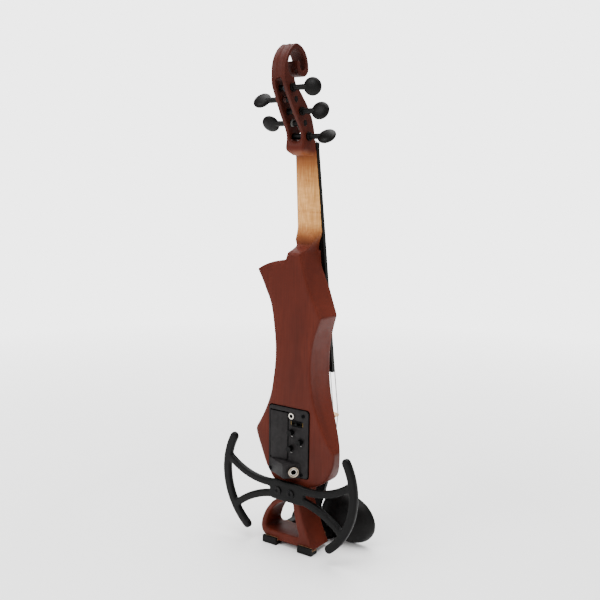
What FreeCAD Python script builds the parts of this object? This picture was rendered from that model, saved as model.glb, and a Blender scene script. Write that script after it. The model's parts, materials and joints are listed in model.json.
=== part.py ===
"""Five-string electric violin standing on its tail end.

+X is the treble side, -Y faces the player's bow (strings), +Y is the back, +Z runs to the scroll.
Every sub-part is drawn about the string plane's centre line and then moved together, so that
the origin sits under the middle of the whole instrument.
"""
import FreeCAD, Part
import math
import os

import Sketcher
from FreeCAD import Placement, Rotation, Vector

DIMENSIONS = {
    "frame_shift_x": 3.0,
    "frame_shift_y": 31.4,
    # wooden body
    "back_offset": 4.0,
    "body_blank": 60.0,
    "body_span": 150.0,
    "body_height": 400.0,
    "arch_radius": 75.0,
    "arch_crown": 52.0,
    "cavity_depth": 33.0,
    "wood_screw_depth": 16.0,
    # neck, pegbox and scroll
    "nut_z": 481.0,
    "heel_z": 361.0,
    "pegbox_width": 26.0,
    "slab": 3.0,
    "peg_taper": 0.6,
    "cheek": 5.0,
    "cheek_top_z": 556.0,
    "tenon_depth": 26.0,
    # fingerboard
    "board_end_z": 211.0,
    "board_edge": 5.5,
    "board_radius": 42.0,
    "board_half_nut": 13.5,
    "board_half_end": 22.0,
    "board_under_nut": 32.5,
    "board_slope": 0.1111,
    "nut_height": 5.0,
    # bridge
    "bridge_z": 153.0,
    "bridge_foot": 4.2,
    "bridge_top": 87.0,
    "wafer": 1.2,
    "cable_radius": 0.8,
    # pegs
    "peg_radius": 3.6,
    "peg_clearance": 0.06,
    "peg_head_radius": 11.5,
    "peg_head_half": 4.0,
    "peg_head_reach": 37.0,
    # tailpiece
    "tail_length": 92.0,
    "tail_thickness": 5.0,
    "tail_top_y": 76.0,
    "tail_top_z": 112.0,
    "tail_tilt": 13.7,
    "lever_width": 2.0,
    "tuner_radius": 1.5,
    "tuner_head": 3.2,
    "tuner_clearance": 0.06,
    "pivot_radius": 0.8,
    "pivot_length": 5.6,
    "gut_radius": 1.0,
    # end pin
    "pin_radius": 3.0,
    "pin_head": 4.8,
    "pin_waist": 2.65,
    "pin_z": 11.0,
    # chin rest and its clamp
    "rest_plate": 4.0,
    "rest_front": 66.0,
    "rod_radius": 1.3,
    "rod_z": 2.7,
    "rod_x": 26.0,
    "barrel_radius": 2.4,
    "barrel_length": 24.0,
    "foot_width": 20.0,
    "foot_height": 9.0,
    "cork": 0.8,
    # shoulder-rest frame
    "frame_thickness": 7.0,
    "frame_outer": 6.0,
    "frame_screw_x": 9.3,
    "frame_screw_z": 74.3,
    "frame_screw_radius": 2.0,
    "frame_screw_head": 5.0,
    # electronics
    "panel_thickness": 1.6,
    "box_depth": 31.0,
    "box_wall": 1.2,
    "wedge_height": 16.6,
    "wedge_z": 93.5,
    "jack_radius": 5.6,
    "jack_bore": 3.2,
    "jack_length": 24.0,
    "phone_bore": 1.78,
    "phone_ring": 3.7,
    "phone_mouth": 2.3,
    "knob_radius": 3.5,
    "knob_height": 6.0,
    "stem_radius": 1.5,
    "stem_clearance": 0.08,
    "panel_screw_radius": 1.1,
    "panel_screw_head": 2.1,
}

STRINGS = {
    # name: (slot number from the bass side, radius)
    "c": (-2, 0.50),
    "g": (-1, 0.42),
    "d": (0, 0.38),
    "a": (1, 0.32),
    "e": (2, 0.25),
}
NUT_SPACING = 4.3
BRIDGE_SPACING = 8.75
TAIL_SPACING = 8.5
STRING_CLEARANCE = 0.05

PEGS = {
    # name: (side, y, z, turn of the head in degrees, where the string winds on)
    "c": (-1, -17.5, 492.0, 40.0, -4.6),
    "g": (-1, -3.8, 519.0, 12.0, -2.8),
    "d": (-1, 12.0, 543.5, -6.0, -1.0),
    "a": (1, 4.4, 531.5, 36.0, 2.2),
    "e": (1, -12.2, 506.5, -30.0, 4.2),
}
PEG_REACH = 32.0
KNOBS = {
    "volume": (-5.0, 147.8),
    "bass": (-17.7, 138.2),
    "treble": (-4.2, 128.0),
}
PANEL_SCREWS = ((-20.8, 169.6), (-19.0, 97.4), (25.6, 97.4))
PHONE_JACK = (-4.3, 167.2)
PICKUP_X = -15.0
LID_HINGE_Y, LID_HINGE_Z = -3.2, 113.0
HINGE_PIN, HINGE_HOLE = 0.5, 0.58
SCREW_DROP = -26.0
LEVER_PIVOT = (2.5, -7.0)
GUT_X = 4.0
CUP_X, CUP_Z, CUP_TILT = -48.0, 31.2, -12.0
CUP_OUTSIDE = (30.5, 38.5, 21.0)
CUP_INSIDE = (27.5, 35.5, 16.5)
FRAME_X = -3.0
JACK_FACE = (-11.1, 2.9, 101.8)
JACK_OUT = (-0.7, 0.71, 0.0)

doc = FreeCAD.newDocument("electric_violin")
sheet = doc.addObject("Spreadsheet::Sheet", "Sizes")
for row, (alias, value) in enumerate(DIMENSIONS.items(), start=1):
    sheet.set("A%d" % row, alias)
    sheet.set("B%d" % row, str(value))
    sheet.setAlias("B%d" % row, alias)
doc.recompute()
nodes = []


def size(alias):
    return float(getattr(sheet, alias))


def cell(text):
    """An expression in which every sheet alias is written with a leading @."""
    return text.replace("@", "Sizes.")


def keep(piece, label):
    """Name a finished sub-part and move it into the instrument's frame."""
    piece.Label = label
    start = piece.Placement.Base
    piece.setExpression("Placement.Base.x", cell("@frame_shift_x + %s" % start.x))
    piece.setExpression("Placement.Base.y", cell("@frame_shift_y + %s" % start.y))
    nodes.append(piece)
    return piece


def new_body(name):
    return doc.addObject("PartDesign::Body", name)


def new_sketch(body, name, role, offset="0", tilt=None):
    """A sketch on one of the body's own planes, moved along the plane's normal."""
    sketch = body.newObject("Sketcher::SketchObject", name)
    plane = [item for item in body.Origin.OriginFeatures if item.Role == role][0]
    sketch.AttachmentSupport = [(plane, "")]
    sketch.MapMode = "FlatFace"
    if tilt is not None:
        sketch.AttachmentOffset = Placement(Vector(), tilt)
    sketch.setExpression("AttachmentOffset.Base.z", cell(offset))
    return sketch


def draw(sketch, start, *steps):
    """A closed outline: a step is a point, or (through, end) for an arc."""
    here = start
    for step in steps:
        if isinstance(step[0], tuple):
            through, end = step
            curve = Part.Arc(Vector(*here), Vector(*through), Vector(*end))
        else:
            end = step
            curve = Part.LineSegment(Vector(*here), Vector(*end))
        sketch.addGeometry(curve, False)
        here = end
    if here != start:
        sketch.addGeometry(Part.LineSegment(Vector(*here), Vector(*start)), False)
    return sketch


def draw_box(sketch, left, low, right, high):
    return draw(sketch, (left, low), (right, low), (right, high), (left, high))


def draw_round_box(sketch, left, low, right, high, radius):
    """A rectangle with four quarter-round corners."""
    cut = radius * (1 - math.sqrt(0.5))
    return draw(
        sketch,
        (left + radius, low),
        (right - radius, low),
        ((right - cut, low + cut), (right, low + radius)),
        (right, high - radius),
        ((right - cut, high - cut), (right - radius, high)),
        (left + radius, high),
        ((left + cut, high - cut), (left, high - radius)),
        (left, low + radius),
        ((left + cut, low + cut), (left + radius, low)),
    )


def draw_circle(sketch, x, y, radius):
    """A circle whose radius is an expression on the sheet."""
    index = sketch.addGeometry(Part.Circle(Vector(x, y), Vector(0, 0, 1), 1.0), False)
    number = sketch.addConstraint(Sketcher.Constraint("Radius", index, 1.0))
    sketch.setExpression("Constraints[%d]" % number, cell(radius))
    return sketch


def add_pad(body, name, sketch, length, reverse=False):
    pad = body.newObject("PartDesign::Pad", name)
    pad.Profile = sketch
    pad.setExpression("Length", cell(length))
    pad.Reversed = reverse
    return pad


def add_pocket(body, name, sketch, length, reverse=False):
    """A pocket that must take wood or plastic away, checked by volume."""
    doc.recompute()
    before = body.Shape.Volume
    pocket = body.newObject("PartDesign::Pocket", name)
    pocket.Profile = sketch
    pocket.setExpression("Length", cell(length))
    pocket.Reversed = reverse
    doc.recompute()
    if not body.Shape.Volume < before:
        raise RuntimeError(name + " cuts nothing")
    return pocket


def add_loft(body, name, sketches, ruled=False):
    loft = body.newObject("PartDesign::AdditiveLoft", name)
    loft.Profile = sketches[0]
    loft.Sections = sketches[1:]
    loft.Ruled = ruled
    return loft


def rod(name, radius, length, start, direction):
    """A Part cylinder from a start point along a direction."""
    piece = doc.addObject("Part::Cylinder", name)
    piece.setExpression("Radius", cell(radius))
    piece.setExpression("Height", cell(length))
    piece.Placement = Placement(Vector(*start), Rotation(Vector(0, 0, 1), Vector(*direction)))
    return piece


def taper(name, low, high, length, start, direction):
    piece = doc.addObject("Part::Cone", name)
    piece.setExpression("Radius1", cell(low))
    piece.setExpression("Radius2", cell(high))
    piece.setExpression("Height", cell(length))
    piece.Placement = Placement(Vector(*start), Rotation(Vector(0, 0, 1), Vector(*direction)))
    return piece


def block(name, corner, span):
    piece = doc.addObject("Part::Box", name)
    piece.Length, piece.Width, piece.Height = span
    piece.Placement.Base = Vector(*corner)
    return piece


def join(name, pieces):
    piece = doc.addObject("Part::MultiFuse", name)
    piece.Shapes = pieces
    return piece


def take_away(name, base, tools):
    piece = doc.addObject("Part::Cut", name)
    piece.Base = base
    piece.Tool = tools[0] if len(tools) == 1 else join(name + "_tools", tools)
    return piece


# ---------------------------------------------------------------- curves shared by several parts


def arch_y(x):
    """Front of the wooden body at a distance x from the centre line."""
    radius = size("arch_radius")
    return radius - size("arch_crown") - math.sqrt(radius ** 2 - x ** 2)


def sag(x):
    """How far the fingerboard's, nut's and bridge's common arch falls back at x."""
    radius = size("board_radius")
    return radius - math.sqrt(radius ** 2 - x ** 2)


def board_under(z):
    """Underside of the fingerboard at a height z."""
    return -size("board_under_nut") - (size("nut_z") - z) * size("board_slope")


def board_half(z):
    share = (size("nut_z") - z) / (size("nut_z") - size("board_end_z"))
    return size("board_half_nut") + share * (size("board_half_end") - size("board_half_nut"))


def nut_crown():
    return board_under(size("nut_z")) - size("board_edge") - sag(size("board_half_nut")) - 0.8


def cheek_half(z):
    """Half the width of the pegbox at a height z."""
    share = min(1.0, max(0.0, (z - 482.0) / (size("cheek_top_z") - 482.0)))
    return 13.0 - 3.4 * share


# ---------------------------------------------------------------- wooden body


def make_body():
    body = new_body("wood_body")
    outline = new_sketch(body, "outline", "XZ_Plane", "@back_offset")
    draw(
        outline,
        (-11.2, size("heel_z")),
        (7.2, size("heel_z")),
        ((8.8, 356.5), (9.1, 350.8)),
        ((30.4, 347.4), (50.4, 338.1)),
        ((27.5, 284.8), (22.2, 241.5)),
        ((31.5, 185.1), (53.1, 141.8)),
        ((43.8, 117.0), (36.0, 98.6)),
        ((30.5, 90.5), (21.5, 83.0)),
        ((17.0, 70.0), (19.2, 57.9)),
        ((38.6, 36.4), (43.2, 22.7)),
        ((41.8, 11.5), (36.0, 5.5)),
        (-36.0, 5.5),
        ((-30.6, 17.0), (-29.3, 19.9)),
        ((-21.7, 37.8), (-15.4, 56.0)),
        ((-15.6, 70.0), (-29.5, 82.8)),
        (-44.6, 89.5),
        ((-58.0, 106.0), (-63.2, 130.8)),
        ((-40.0, 168.0), (-28.0, 226.8)),
        ((-32.0, 261.0), (-42.0, 287.2)),
        ((-21.0, 328.5), (-11.2, size("heel_z"))),
    )
    add_pad(body, "blank", outline, "@body_blank")

    crest = new_sketch(body, "crest", "XY_Plane")
    edge = 71.0
    draw(
        crest,
        (-edge, arch_y(edge)),
        ((0.0, arch_y(0.0)), (edge, arch_y(edge))),
        (edge, -75.0),
        (-edge, -75.0),
    )
    add_pocket(body, "arched_front", crest, "@body_height", True)

    neck_seat = new_sketch(body, "neck_seat", "YZ_Plane", "-@body_span / 2")
    draw(
        neck_seat,
        (board_under(276.0) + size("slab"), 276.0),
        (board_under(375.0) + size("slab"), 375.0),
        (-75.0, 375.0),
        (-75.0, 276.0),
    )
    add_pocket(body, "neck_ramp", neck_seat, "@body_span", True)

    tail_front = new_sketch(body, "tail_front", "YZ_Plane", "-@body_span / 2")
    draw(tail_front, (-39.0, 0.0), (-39.0, 60.0), (-52.5, 88.0), (-75.0, 88.0), (-75.0, 0.0))
    add_pocket(body, "thin_tail", tail_front, "@body_span", True)

    loop = new_sketch(body, "loop", "XZ_Plane", "@back_offset")
    draw(
        loop,
        (-6.2, 55.0),
        ((1.0, 61.5), (9.0, 56.6)),
        ((29.2, 38.6), (34.6, 24.4)),
        ((35.6, 19.4), (31.4, 16.5)),
        (-11.0, 16.5),
        ((-14.6, 18.2), (-14.2, 21.6)),
        ((-9.4, 38.0), (-6.2, 55.0)),
    )
    add_pocket(body, "tail_loop", loop, "@body_blank", True)

    cavity = new_sketch(body, "cavity", "XZ_Plane", "@back_offset")
    draw(
        cavity,
        (-25.0, 104.5),
        (-25.0, 163.0),
        (-14.0, 173.0),
        (27.4, 173.0),
        (27.4, 106.0),
        (17.0, 96.0),
        (-13.0, 96.0),
        (-25.0, 104.5),
    )
    add_pocket(body, "electronics_cavity", cavity, "@cavity_depth", True)

    pilots = new_sketch(body, "panel_screw_holes", "XZ_Plane", "@back_offset")
    for x, z in PANEL_SCREWS:
        draw_circle(pilots, x, z, "@panel_screw_radius")
    add_pocket(body, "panel_screw_pilots", pilots, "6", True)

    mortise = new_sketch(body, "mortise", "XY_Plane", "@heel_z")
    draw_box(mortise, -8.0, -34.0, 7.0, -14.0)
    add_pocket(body, "neck_mortise", mortise, "@tenon_depth")

    screws = new_sketch(body, "frame_screw_holes", "XZ_Plane", "@back_offset")
    for side in (-1, 1):
        draw_circle(screws, side * size("frame_screw_x"), size("frame_screw_z"), "@frame_screw_radius")
    add_pocket(body, "frame_screw_pilots", screws, "@wood_screw_depth", True)

    cable = new_sketch(body, "cable_hole", "XZ_Plane", "@back_offset + @cavity_depth")
    draw_circle(cable, PICKUP_X, size("bridge_z"), "@cable_radius + 0.1")
    add_pocket(body, "cable_channel", cable, "@body_blank", True)

    pin = new_sketch(body, "end_pin_hole", "XZ_Plane", "39")
    draw_circle(pin, 0.0, size("pin_z"), "@pin_radius")
    add_pocket(body, "end_pin_bore", pin, "12")
    return body


# ---------------------------------------------------------------- neck, pegbox and scroll


def neck_section(body, name, z, left, right, back, side=2.0):
    """A D-shaped slice of the neck, flat where the fingerboard is glued on."""
    sketch = new_sketch(body, name, "XY_Plane", str(z))
    front = board_under(z)
    middle = (left + right) / 2
    draw(
        sketch,
        (left, front),
        (right, front),
        (right, front + side),
        ((middle, back), (left, front + side)),
    )
    return sketch


def make_neck():
    body = new_body("neck_blank")
    grip = size("nut_z")
    top_half = board_half(grip) - 0.2
    low_half = board_half(386.0) - 0.2
    sections = [
        neck_section(body, "nut_end", grip - 1, -top_half, top_half, -20.0),
        neck_section(body, "grip_end", 386.0, -low_half, low_half, -28.4),
    ]
    add_loft(body, "grip", sections, True)
    heel = [
        neck_section(body, "heel_start", 386.0, -low_half, low_half, -28.4),
        neck_section(body, "heel_upper", 378.0, -15.4, 14.6, -23.5, 6.0),
        neck_section(body, "heel_bend", 371.0, -12.6, 10.0, -14.0, 14.0),
        neck_section(body, "heel_lower", 366.0, -11.5, 7.8, -6.2, 27.0),
        neck_section(body, "heel_foot", size("heel_z"), -11.2, 7.2, -4.2, 36.0),
    ]
    add_loft(body, "heel", heel)

    slab = new_sketch(body, "slab_side", "YZ_Plane", "-@board_half_nut")
    draw(
        slab,
        (board_under(size("heel_z")), size("heel_z")),
        (board_under(300.0), 300.0),
        (board_under(300.0) + size("slab"), 300.0),
        (board_under(size("heel_z")) + size("slab"), size("heel_z")),
    )
    add_pad(body, "slab_under_board", slab, "2 * @board_half_nut")

    tenon = new_sketch(body, "tenon_section", "XY_Plane", "@heel_z")
    draw_box(tenon, -8.0, -34.0, 7.0, -14.0)
    add_pad(body, "tenon", tenon, "@tenon_depth", True)

    side = new_sketch(body, "pegbox_side", "YZ_Plane", "-@pegbox_width / 2")
    draw(
        side,
        (-33.4, 471.0),
        (-32.4, 481.0),
        (-32.4, 487.0),
        (-31.0, 492.0),
        ((-27.8, 508.0), (-22.0, 520.0)),
        ((-12.6, 532.0), (0.0, 544.5)),
        ((4.6, 549.8), (6.5, 556.0)),
        ((14.6, 557.4), (18.6, 563.5)),
        ((15.6, 576.6), (3.0, 586.0)),
        ((-9.5, 580.5), (-14.7, 569.5)),
        ((-13.0, 564.4), (-8.5, 563.0)),
        ((-5.2, 565.5), (-4.4, 570.5)),
        ((-1.6, 573.6), (1.6, 570.5)),
        ((-0.6, 560.6), (-8.0, 557.0)),
        ((-17.2, 559.2), (-20.0, 570.0)),
        ((-13.4, 584.6), (4.0, 591.8)),
        ((20.0, 578.0), (25.0, 558.0)),
        ((24.6, 550.0), (22.0, 543.0)),
        ((12.2, 525.6), (-1.0, 506.0)),
        ((-6.4, 496.0), (-7.6, 485.0)),
        ((-8.6, 474.0), (-16.0, 471.0)),
    )
    add_pad(body, "pegbox_and_scroll", side, "@pegbox_width")

    flank = new_sketch(body, "flanks", "XZ_Plane", "60")
    for hand in (-1, 1):
        draw(
            flank,
            (hand * cheek_half(482.0), 482.0),
            (hand * cheek_half(600.0), size("cheek_top_z")),
            (hand * cheek_half(600.0), 600.0),
            (hand * 20.0, 600.0),
            (hand * 20.0, 482.0),
        )
    add_pocket(body, "tapered_flanks", flank, "120")

    slot = new_sketch(body, "slot", "XZ_Plane", "60")
    low, high = 487.0, 553.0
    low_half = cheek_half(low) - size("cheek")
    high_half = cheek_half(high) - size("cheek")
    draw(
        slot,
        (-low_half, low + 3.0),
        ((0.0, low - 1.0), (low_half, low + 3.0)),
        (high_half, high - 3.0),
        ((0.0, high + 1.0), (-high_half, high - 3.0)),
    )
    add_pocket(body, "string_slot", slot, "120")
    return body


def peg_taper_radius(side, x):
    """Radius of a peg shaft at x, thinner towards its tip."""
    return size("peg_radius") - size("peg_taper") * (PEG_REACH / 2 - side * x) / PEG_REACH


def peg_bore(name, side, y, z):
    """Tapered hole through both cheeks."""
    wide_end = "@peg_radius + @peg_clearance"
    start = (side * PEG_REACH / 2, y, z)
    return taper(name + "_hole", wide_end, wide_end + " - @peg_taper", str(PEG_REACH), start, (-side, 0, 0))


def make_peg(name, side, y, z, turn):
    cheek = cheek_half(z)
    collar_x = cheek + 0.5
    tip_x = -(cheek - 0.3)
    axis = (-side, 0, 0)
    root = peg_taper_radius(side, side * (collar_x + 1))
    tip = peg_taper_radius(side, side * tip_x)
    shaft_start = (side * (collar_x + 1), y, z)
    shaft = taper(name + "_shaft", str(root), str(tip), str(collar_x + 1 - tip_x), shaft_start, axis)
    collar = rod(name + "_collar", "@peg_radius + 1.1", "2.2", (side * (collar_x + 2.2), y, z), axis)
    stem_length = size("peg_head_reach") - 6.0 - collar_x - 2.0
    stem_start = (side * (collar_x + 2.0 + stem_length), y, z)
    stem = taper(name + "_stem", "3.4", "2.9", str(stem_length), stem_start, axis)
    head = doc.addObject("Part::Ellipsoid", name + "_head")
    head.setExpression("Radius1", cell("@peg_head_radius - 1.5"))
    head.setExpression("Radius2", cell("@peg_head_radius"))
    head.setExpression("Radius3", cell("@peg_head_half"))
    spin = Rotation(Vector(1, 0, 0), turn) * Rotation(Vector(0, 0, 1), 90 - 90 * side)
    head.Placement = Placement(Vector(side * size("peg_head_reach"), y, z), spin)
    return join(name, [shaft, collar, stem, head])


# ---------------------------------------------------------------- fingerboard, nut and strings


def make_fingerboard():
    body = new_body("board")
    sections = []
    for name, z in (("end", size("board_end_z")), ("nut", size("nut_z"))):
        sketch = new_sketch(body, "board_" + name, "XY_Plane", str(z))
        half = board_half(z)
        under = board_under(z)
        edge = under - size("board_edge")
        draw(sketch, (-half, under), (half, under), (half, edge), ((0.0, edge - sag(half)), (-half, edge)))
        sections.append(sketch)
    add_loft(body, "board_loft", sections, True)
    return body


def make_nut():
    body = new_body("nut_block")
    sketch = new_sketch(body, "nut_section", "XY_Plane", "@nut_z")
    half = board_half(size("nut_z")) - 0.3
    back = -32.4
    edge = nut_crown() + sag(half)
    draw(sketch, (-half, back), (half, back), (half, edge), ((0.0, nut_crown()), (-half, edge)))
    add_pad(body, "nut_pad", sketch, "@nut_height")
    return body


def tail_point(x, y, z):
    """A point given in the tailpiece's own tilted frame."""
    tilt = math.radians(size("tail_tilt"))
    return Vector(
        x,
        y * math.cos(tilt) - z * math.sin(tilt) - size("tail_top_y"),
        y * math.sin(tilt) + z * math.cos(tilt) + size("tail_top_z"),
    )


def winding_point(start, name, radius):
    """Where the string meets its peg, on the front of the shaft."""
    side, y, z, turn, x = PEGS[name]
    away = Vector(0, y - start.y, z - start.z).normalize()
    reach = peg_taper_radius(side, x) + radius + 0.15
    return Vector(x, y - away.z * reach, z + away.y * reach)


def make_string(name, slot, radius):
    """Wire from the peg over the nut and the bridge to the ball in its lever."""
    lift = radius + STRING_CLEARANCE
    nut_x, bridge_x = slot * NUT_SPACING, slot * BRIDGE_SPACING
    over_nut = Vector(nut_x, nut_crown() + sag(nut_x) - lift, size("nut_z") + size("nut_height") + 0.2)
    over_bridge = Vector(bridge_x, sag(bridge_x) - size("bridge_top") - lift, size("bridge_z"))
    ball = tail_point(slot * TAIL_SPACING, -2.4, -5.8)
    route = [winding_point(over_nut, name, radius), over_nut, over_bridge, ball]
    pieces = [Part.makeSphere(1.4, ball)]
    for start, end in zip(route, route[1:]):
        run = end - start
        pieces.append(Part.makeCylinder(radius, run.Length, start, run))
    for bend in (over_nut, over_bridge):
        pieces.append(Part.makeSphere(radius, bend))
    wire = doc.addObject("Part::Feature", "wire_" + name)
    wire.Shape = pieces[0].multiFuse(pieces[1:])
    return wire


# ---------------------------------------------------------------- bridge and pickup


def foot_y(x):
    """Underside of the bridge's feet, on top of the pickup wafers."""
    radius = size("arch_radius") + size("wafer")
    return size("arch_radius") - size("arch_crown") - math.sqrt(radius ** 2 - x ** 2)


def make_bridge():
    body = new_body("bridge_blank")
    front = new_sketch(body, "bridge_front", "XY_Plane", "@bridge_z - @bridge_foot / 2")
    half = 20.5
    crown = -size("bridge_top")
    shoulder = crown + sag(half)
    draw(
        front,
        (-half, foot_y(half)),
        ((-15.0, foot_y(15.0)), (-9.5, foot_y(9.5))),
        ((0.0, -62.5), (9.5, foot_y(9.5))),
        ((15.0, foot_y(15.0)), (half, foot_y(half))),
        (half, foot_y(half) - 2.5),
        ((14.2, -58.5), (14.8, -65.0)),
        ((16.2, -69.0), (half, -72.0)),
        (half, shoulder),
        ((0.0, crown), (-half, shoulder)),
        (-half, -72.0),
        ((-16.2, -69.0), (-14.8, -65.0)),
        ((-14.2, -58.5), (-half, foot_y(half) - 2.5)),
    )
    for x, y, radius in ((0.0, -73.0, "3.6"), (-9.6, -71.0, "2.8"), (9.6, -71.0, "2.8")):
        draw_circle(front, x, y, radius)
    add_pad(body, "bridge_pad", front, "@bridge_foot")

    thin = new_sketch(body, "bridge_taper", "YZ_Plane", "-30")
    middle = size("bridge_z")
    heavy = size("bridge_foot") / 2 + 0.1
    for hand in (-1, 1):
        draw(
            thin,
            (-56.0, middle + hand * heavy),
            (-90.0, middle + hand * heavy),
            (-90.0, middle + hand * 0.75),
        )
    add_pocket(body, "bridge_thinned", thin, "60", True)
    return body


def make_pickup():
    """Two piezo wafers, one under each foot of the bridge."""
    wafers = []
    for hand in (-1, 1):
        body = new_body("wafer_treble" if hand > 0 else "wafer_bass")
        sketch = new_sketch(body, "wafer_section", "XY_Plane", "@bridge_z - @bridge_foot / 2")
        near, far = hand * 10.0, hand * 20.0
        middle = (near + far) / 2
        draw(
            sketch,
            (near, arch_y(near)),
            ((middle, arch_y(middle)), (far, arch_y(far))),
            (far, foot_y(far)),
            ((middle, foot_y(middle)), (near, foot_y(near))),
        )
        add_pad(body, "wafer_pad", sketch, "@bridge_foot")
        wafers.append(body)
    return wafers


# ---------------------------------------------------------------- tailpiece, levers and tailgut


def keep_on_tail(piece, label):
    """Name a sub-part drawn upright and lean it with the tailpiece."""
    keep(piece, label)
    piece.Placement.Rotation = Rotation(Vector(1, 0, 0), size("tail_tilt"))
    piece.setExpression("Placement.Base.y", cell("@frame_shift_y - @tail_top_y"))
    piece.setExpression("Placement.Base.z", cell("@tail_top_z"))
    return piece


def make_tailpiece():
    body = new_body("tail_plate")
    face = new_sketch(body, "tail_outline", "XZ_Plane", "-@tail_thickness")
    length = size("tail_length")
    draw(
        face,
        (-21.5, 0.0),
        (21.5, 0.0),
        ((23.6, -1.4), (23.4, -5.0)),
        ((18.6, -34.0), (10.6, -length + 6)),
        ((9.4, -length + 1.2), (6.0, -length)),
        (-6.0, -length),
        ((-9.4, -length + 1.2), (-10.6, -length + 6)),
        ((-18.6, -34.0), (-23.4, -5.0)),
        ((-23.6, -1.4), (-21.5, 0.0)),
    )
    add_pad(body, "tail_pad", face, "@tail_thickness")
    slots = new_sketch(body, "lever_slots", "XZ_Plane", "-@tail_thickness")
    screws = new_sketch(body, "screw_holes", "XZ_Plane", "-@tail_thickness")
    for slot, radius in STRINGS.values():
        x = slot * TAIL_SPACING
        draw_box(slots, x - 1.3, -14.0, x + 1.3, 1.0)
        draw_circle(screws, x, SCREW_DROP, "@tuner_radius + @tuner_clearance")
    add_pocket(body, "lever_windows", slots, "@tail_thickness", True)
    add_pocket(body, "screw_bores", screws, "@tail_thickness", True)
    pivots = new_sketch(body, "pivot_line", "YZ_Plane", "-25")
    draw_circle(pivots, *LEVER_PIVOT, "@pivot_radius + @tuner_clearance")
    add_pocket(body, "pivot_bore", pivots, "50", True)
    ends = new_sketch(body, "gut_holes", "XY_Plane", "-@tail_length")
    for hand in (-1, 1):
        draw_circle(ends, hand * GUT_X, size("tail_thickness") / 2, "@gut_radius")
    add_pocket(body, "gut_sockets", ends, "5", True)
    return body


def make_lever(name, slot):
    """Bell crank: its fork holds the ball, its long arm is pushed back by the screw."""
    x = slot * TAIL_SPACING
    body = new_body("lever_" + name)
    blade = new_sketch(body, "blade", "YZ_Plane", "%s - @lever_width / 2" % x)
    draw(
        blade,
        (-4.0, -3.0),
        (-4.0, -1.2),
        (0.4, -1.2),
        ((3.4, -3.0), (4.4, -6.6)),
        ((5.4, -9.6), (7.6, -12.2)),
        (7.6, -30.0),
        (6.1, -30.0),
        (6.1, -13.0),
        ((3.4, -10.6), (1.2, -8.4)),
        ((-0.2, -5.6), (-0.4, -3.0)),
    )
    add_pad(body, "blade_pad", blade, "@lever_width")
    head = new_sketch(body, "fork", "XY_Plane", "-3")
    draw(
        head,
        (x - 2.3, -4.0),
        (x - 0.8, -4.0),
        (x - 0.8, -1.0),
        (x + 0.8, -1.0),
        (x + 0.8, -4.0),
        (x + 2.3, -4.0),
        (x + 2.3, -0.4),
        (x - 2.3, -0.4),
    )
    add_pad(body, "fork_pad", head, "1.8")
    notch = new_sketch(body, "string_notch", "XY_Plane", "-3.5")
    draw_box(notch, x - 0.8, -4.5, x + 0.8, -1.0)
    add_pocket(body, "notch_cut", notch, "3", True)
    pin = new_sketch(body, "pivot_pin", "YZ_Plane", "%s - @pivot_length / 2" % x)
    draw_circle(pin, *LEVER_PIVOT, "@pivot_radius")
    add_pad(body, "pivot_pad", pin, "@pivot_length")
    return body


def make_tuner(name, slot):
    """Knurled thumb screw that runs through the tailpiece."""
    x = slot * TAIL_SPACING
    body = new_body("tuner_" + name)
    shank = new_sketch(body, "shank", "XZ_Plane", "-6")
    draw_circle(shank, x, SCREW_DROP, "@tuner_radius")
    add_pad(body, "shank_pad", shank, "15")
    thumb = new_sketch(body, "thumb", "XZ_Plane", "8")
    points = 14
    draw_circle(thumb, x, SCREW_DROP, "@tuner_head")
    add_pad(body, "thumb_pad", thumb, "4.5")
    knurl = new_sketch(body, "knurl", "XZ_Plane", "8")
    for step in range(points):
        angle = 2 * math.pi * step / points
        reach = size("tuner_head") + 0.1
        draw_circle(knurl, x + reach * math.cos(angle), SCREW_DROP + reach * math.sin(angle), "0.4")
    add_pocket(body, "knurl_cut", knurl, "4.5", True)
    return body


def make_tailgut():
    """Loop from the foot of the tailpiece round the end pin."""
    radius = size("gut_radius")
    pin_y = -46.6
    upper = tail_point(GUT_X, size("tail_thickness") / 2, -size("tail_length") + 4)
    exit_point = tail_point(GUT_X, size("tail_thickness") / 2, -size("tail_length") - 0.5)
    side = Vector(GUT_X, pin_y, size("pin_z"))
    fall = (side - exit_point).normalize()
    low = Vector(0, side.y, side.z) + fall * GUT_X
    pieces = []
    for hand in (-1, 1):
        mirror = [Vector(hand * point.x, point.y, point.z) for point in (upper, exit_point, side)]
        for start, end in zip(mirror, mirror[1:]):
            run = end - start
            pieces.append(Part.makeCylinder(radius, run.Length, start, run))
        pieces.append(Part.makeSphere(radius, mirror[1]))
    bend = Part.Wire([Part.Arc(side, low, Vector(-side.x, side.y, side.z)).toShape()])
    ring = Part.Wire([Part.Circle(side, fall, radius).toShape()])
    pieces.append(bend.makePipeShell([ring], True, True))
    gut = doc.addObject("Part::Feature", "gut_loop")
    gut.Shape = pieces[0].multiFuse(pieces[1:])
    return gut


def make_end_pin():
    peg = rod("pin_shank", "@pin_radius", "13", (0.0, -27.0, size("pin_z")), (0, -1, 0))
    waist = rod("pin_waist", "@pin_waist", "11", (0.0, -39.8, size("pin_z")), (0, -1, 0))
    head = rod("pin_button", "@pin_head", "2.4", (0.0, -50.0, size("pin_z")), (0, -1, 0))
    return join("pin", [peg, waist, head])


# ---------------------------------------------------------------- chin rest and clamp


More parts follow.
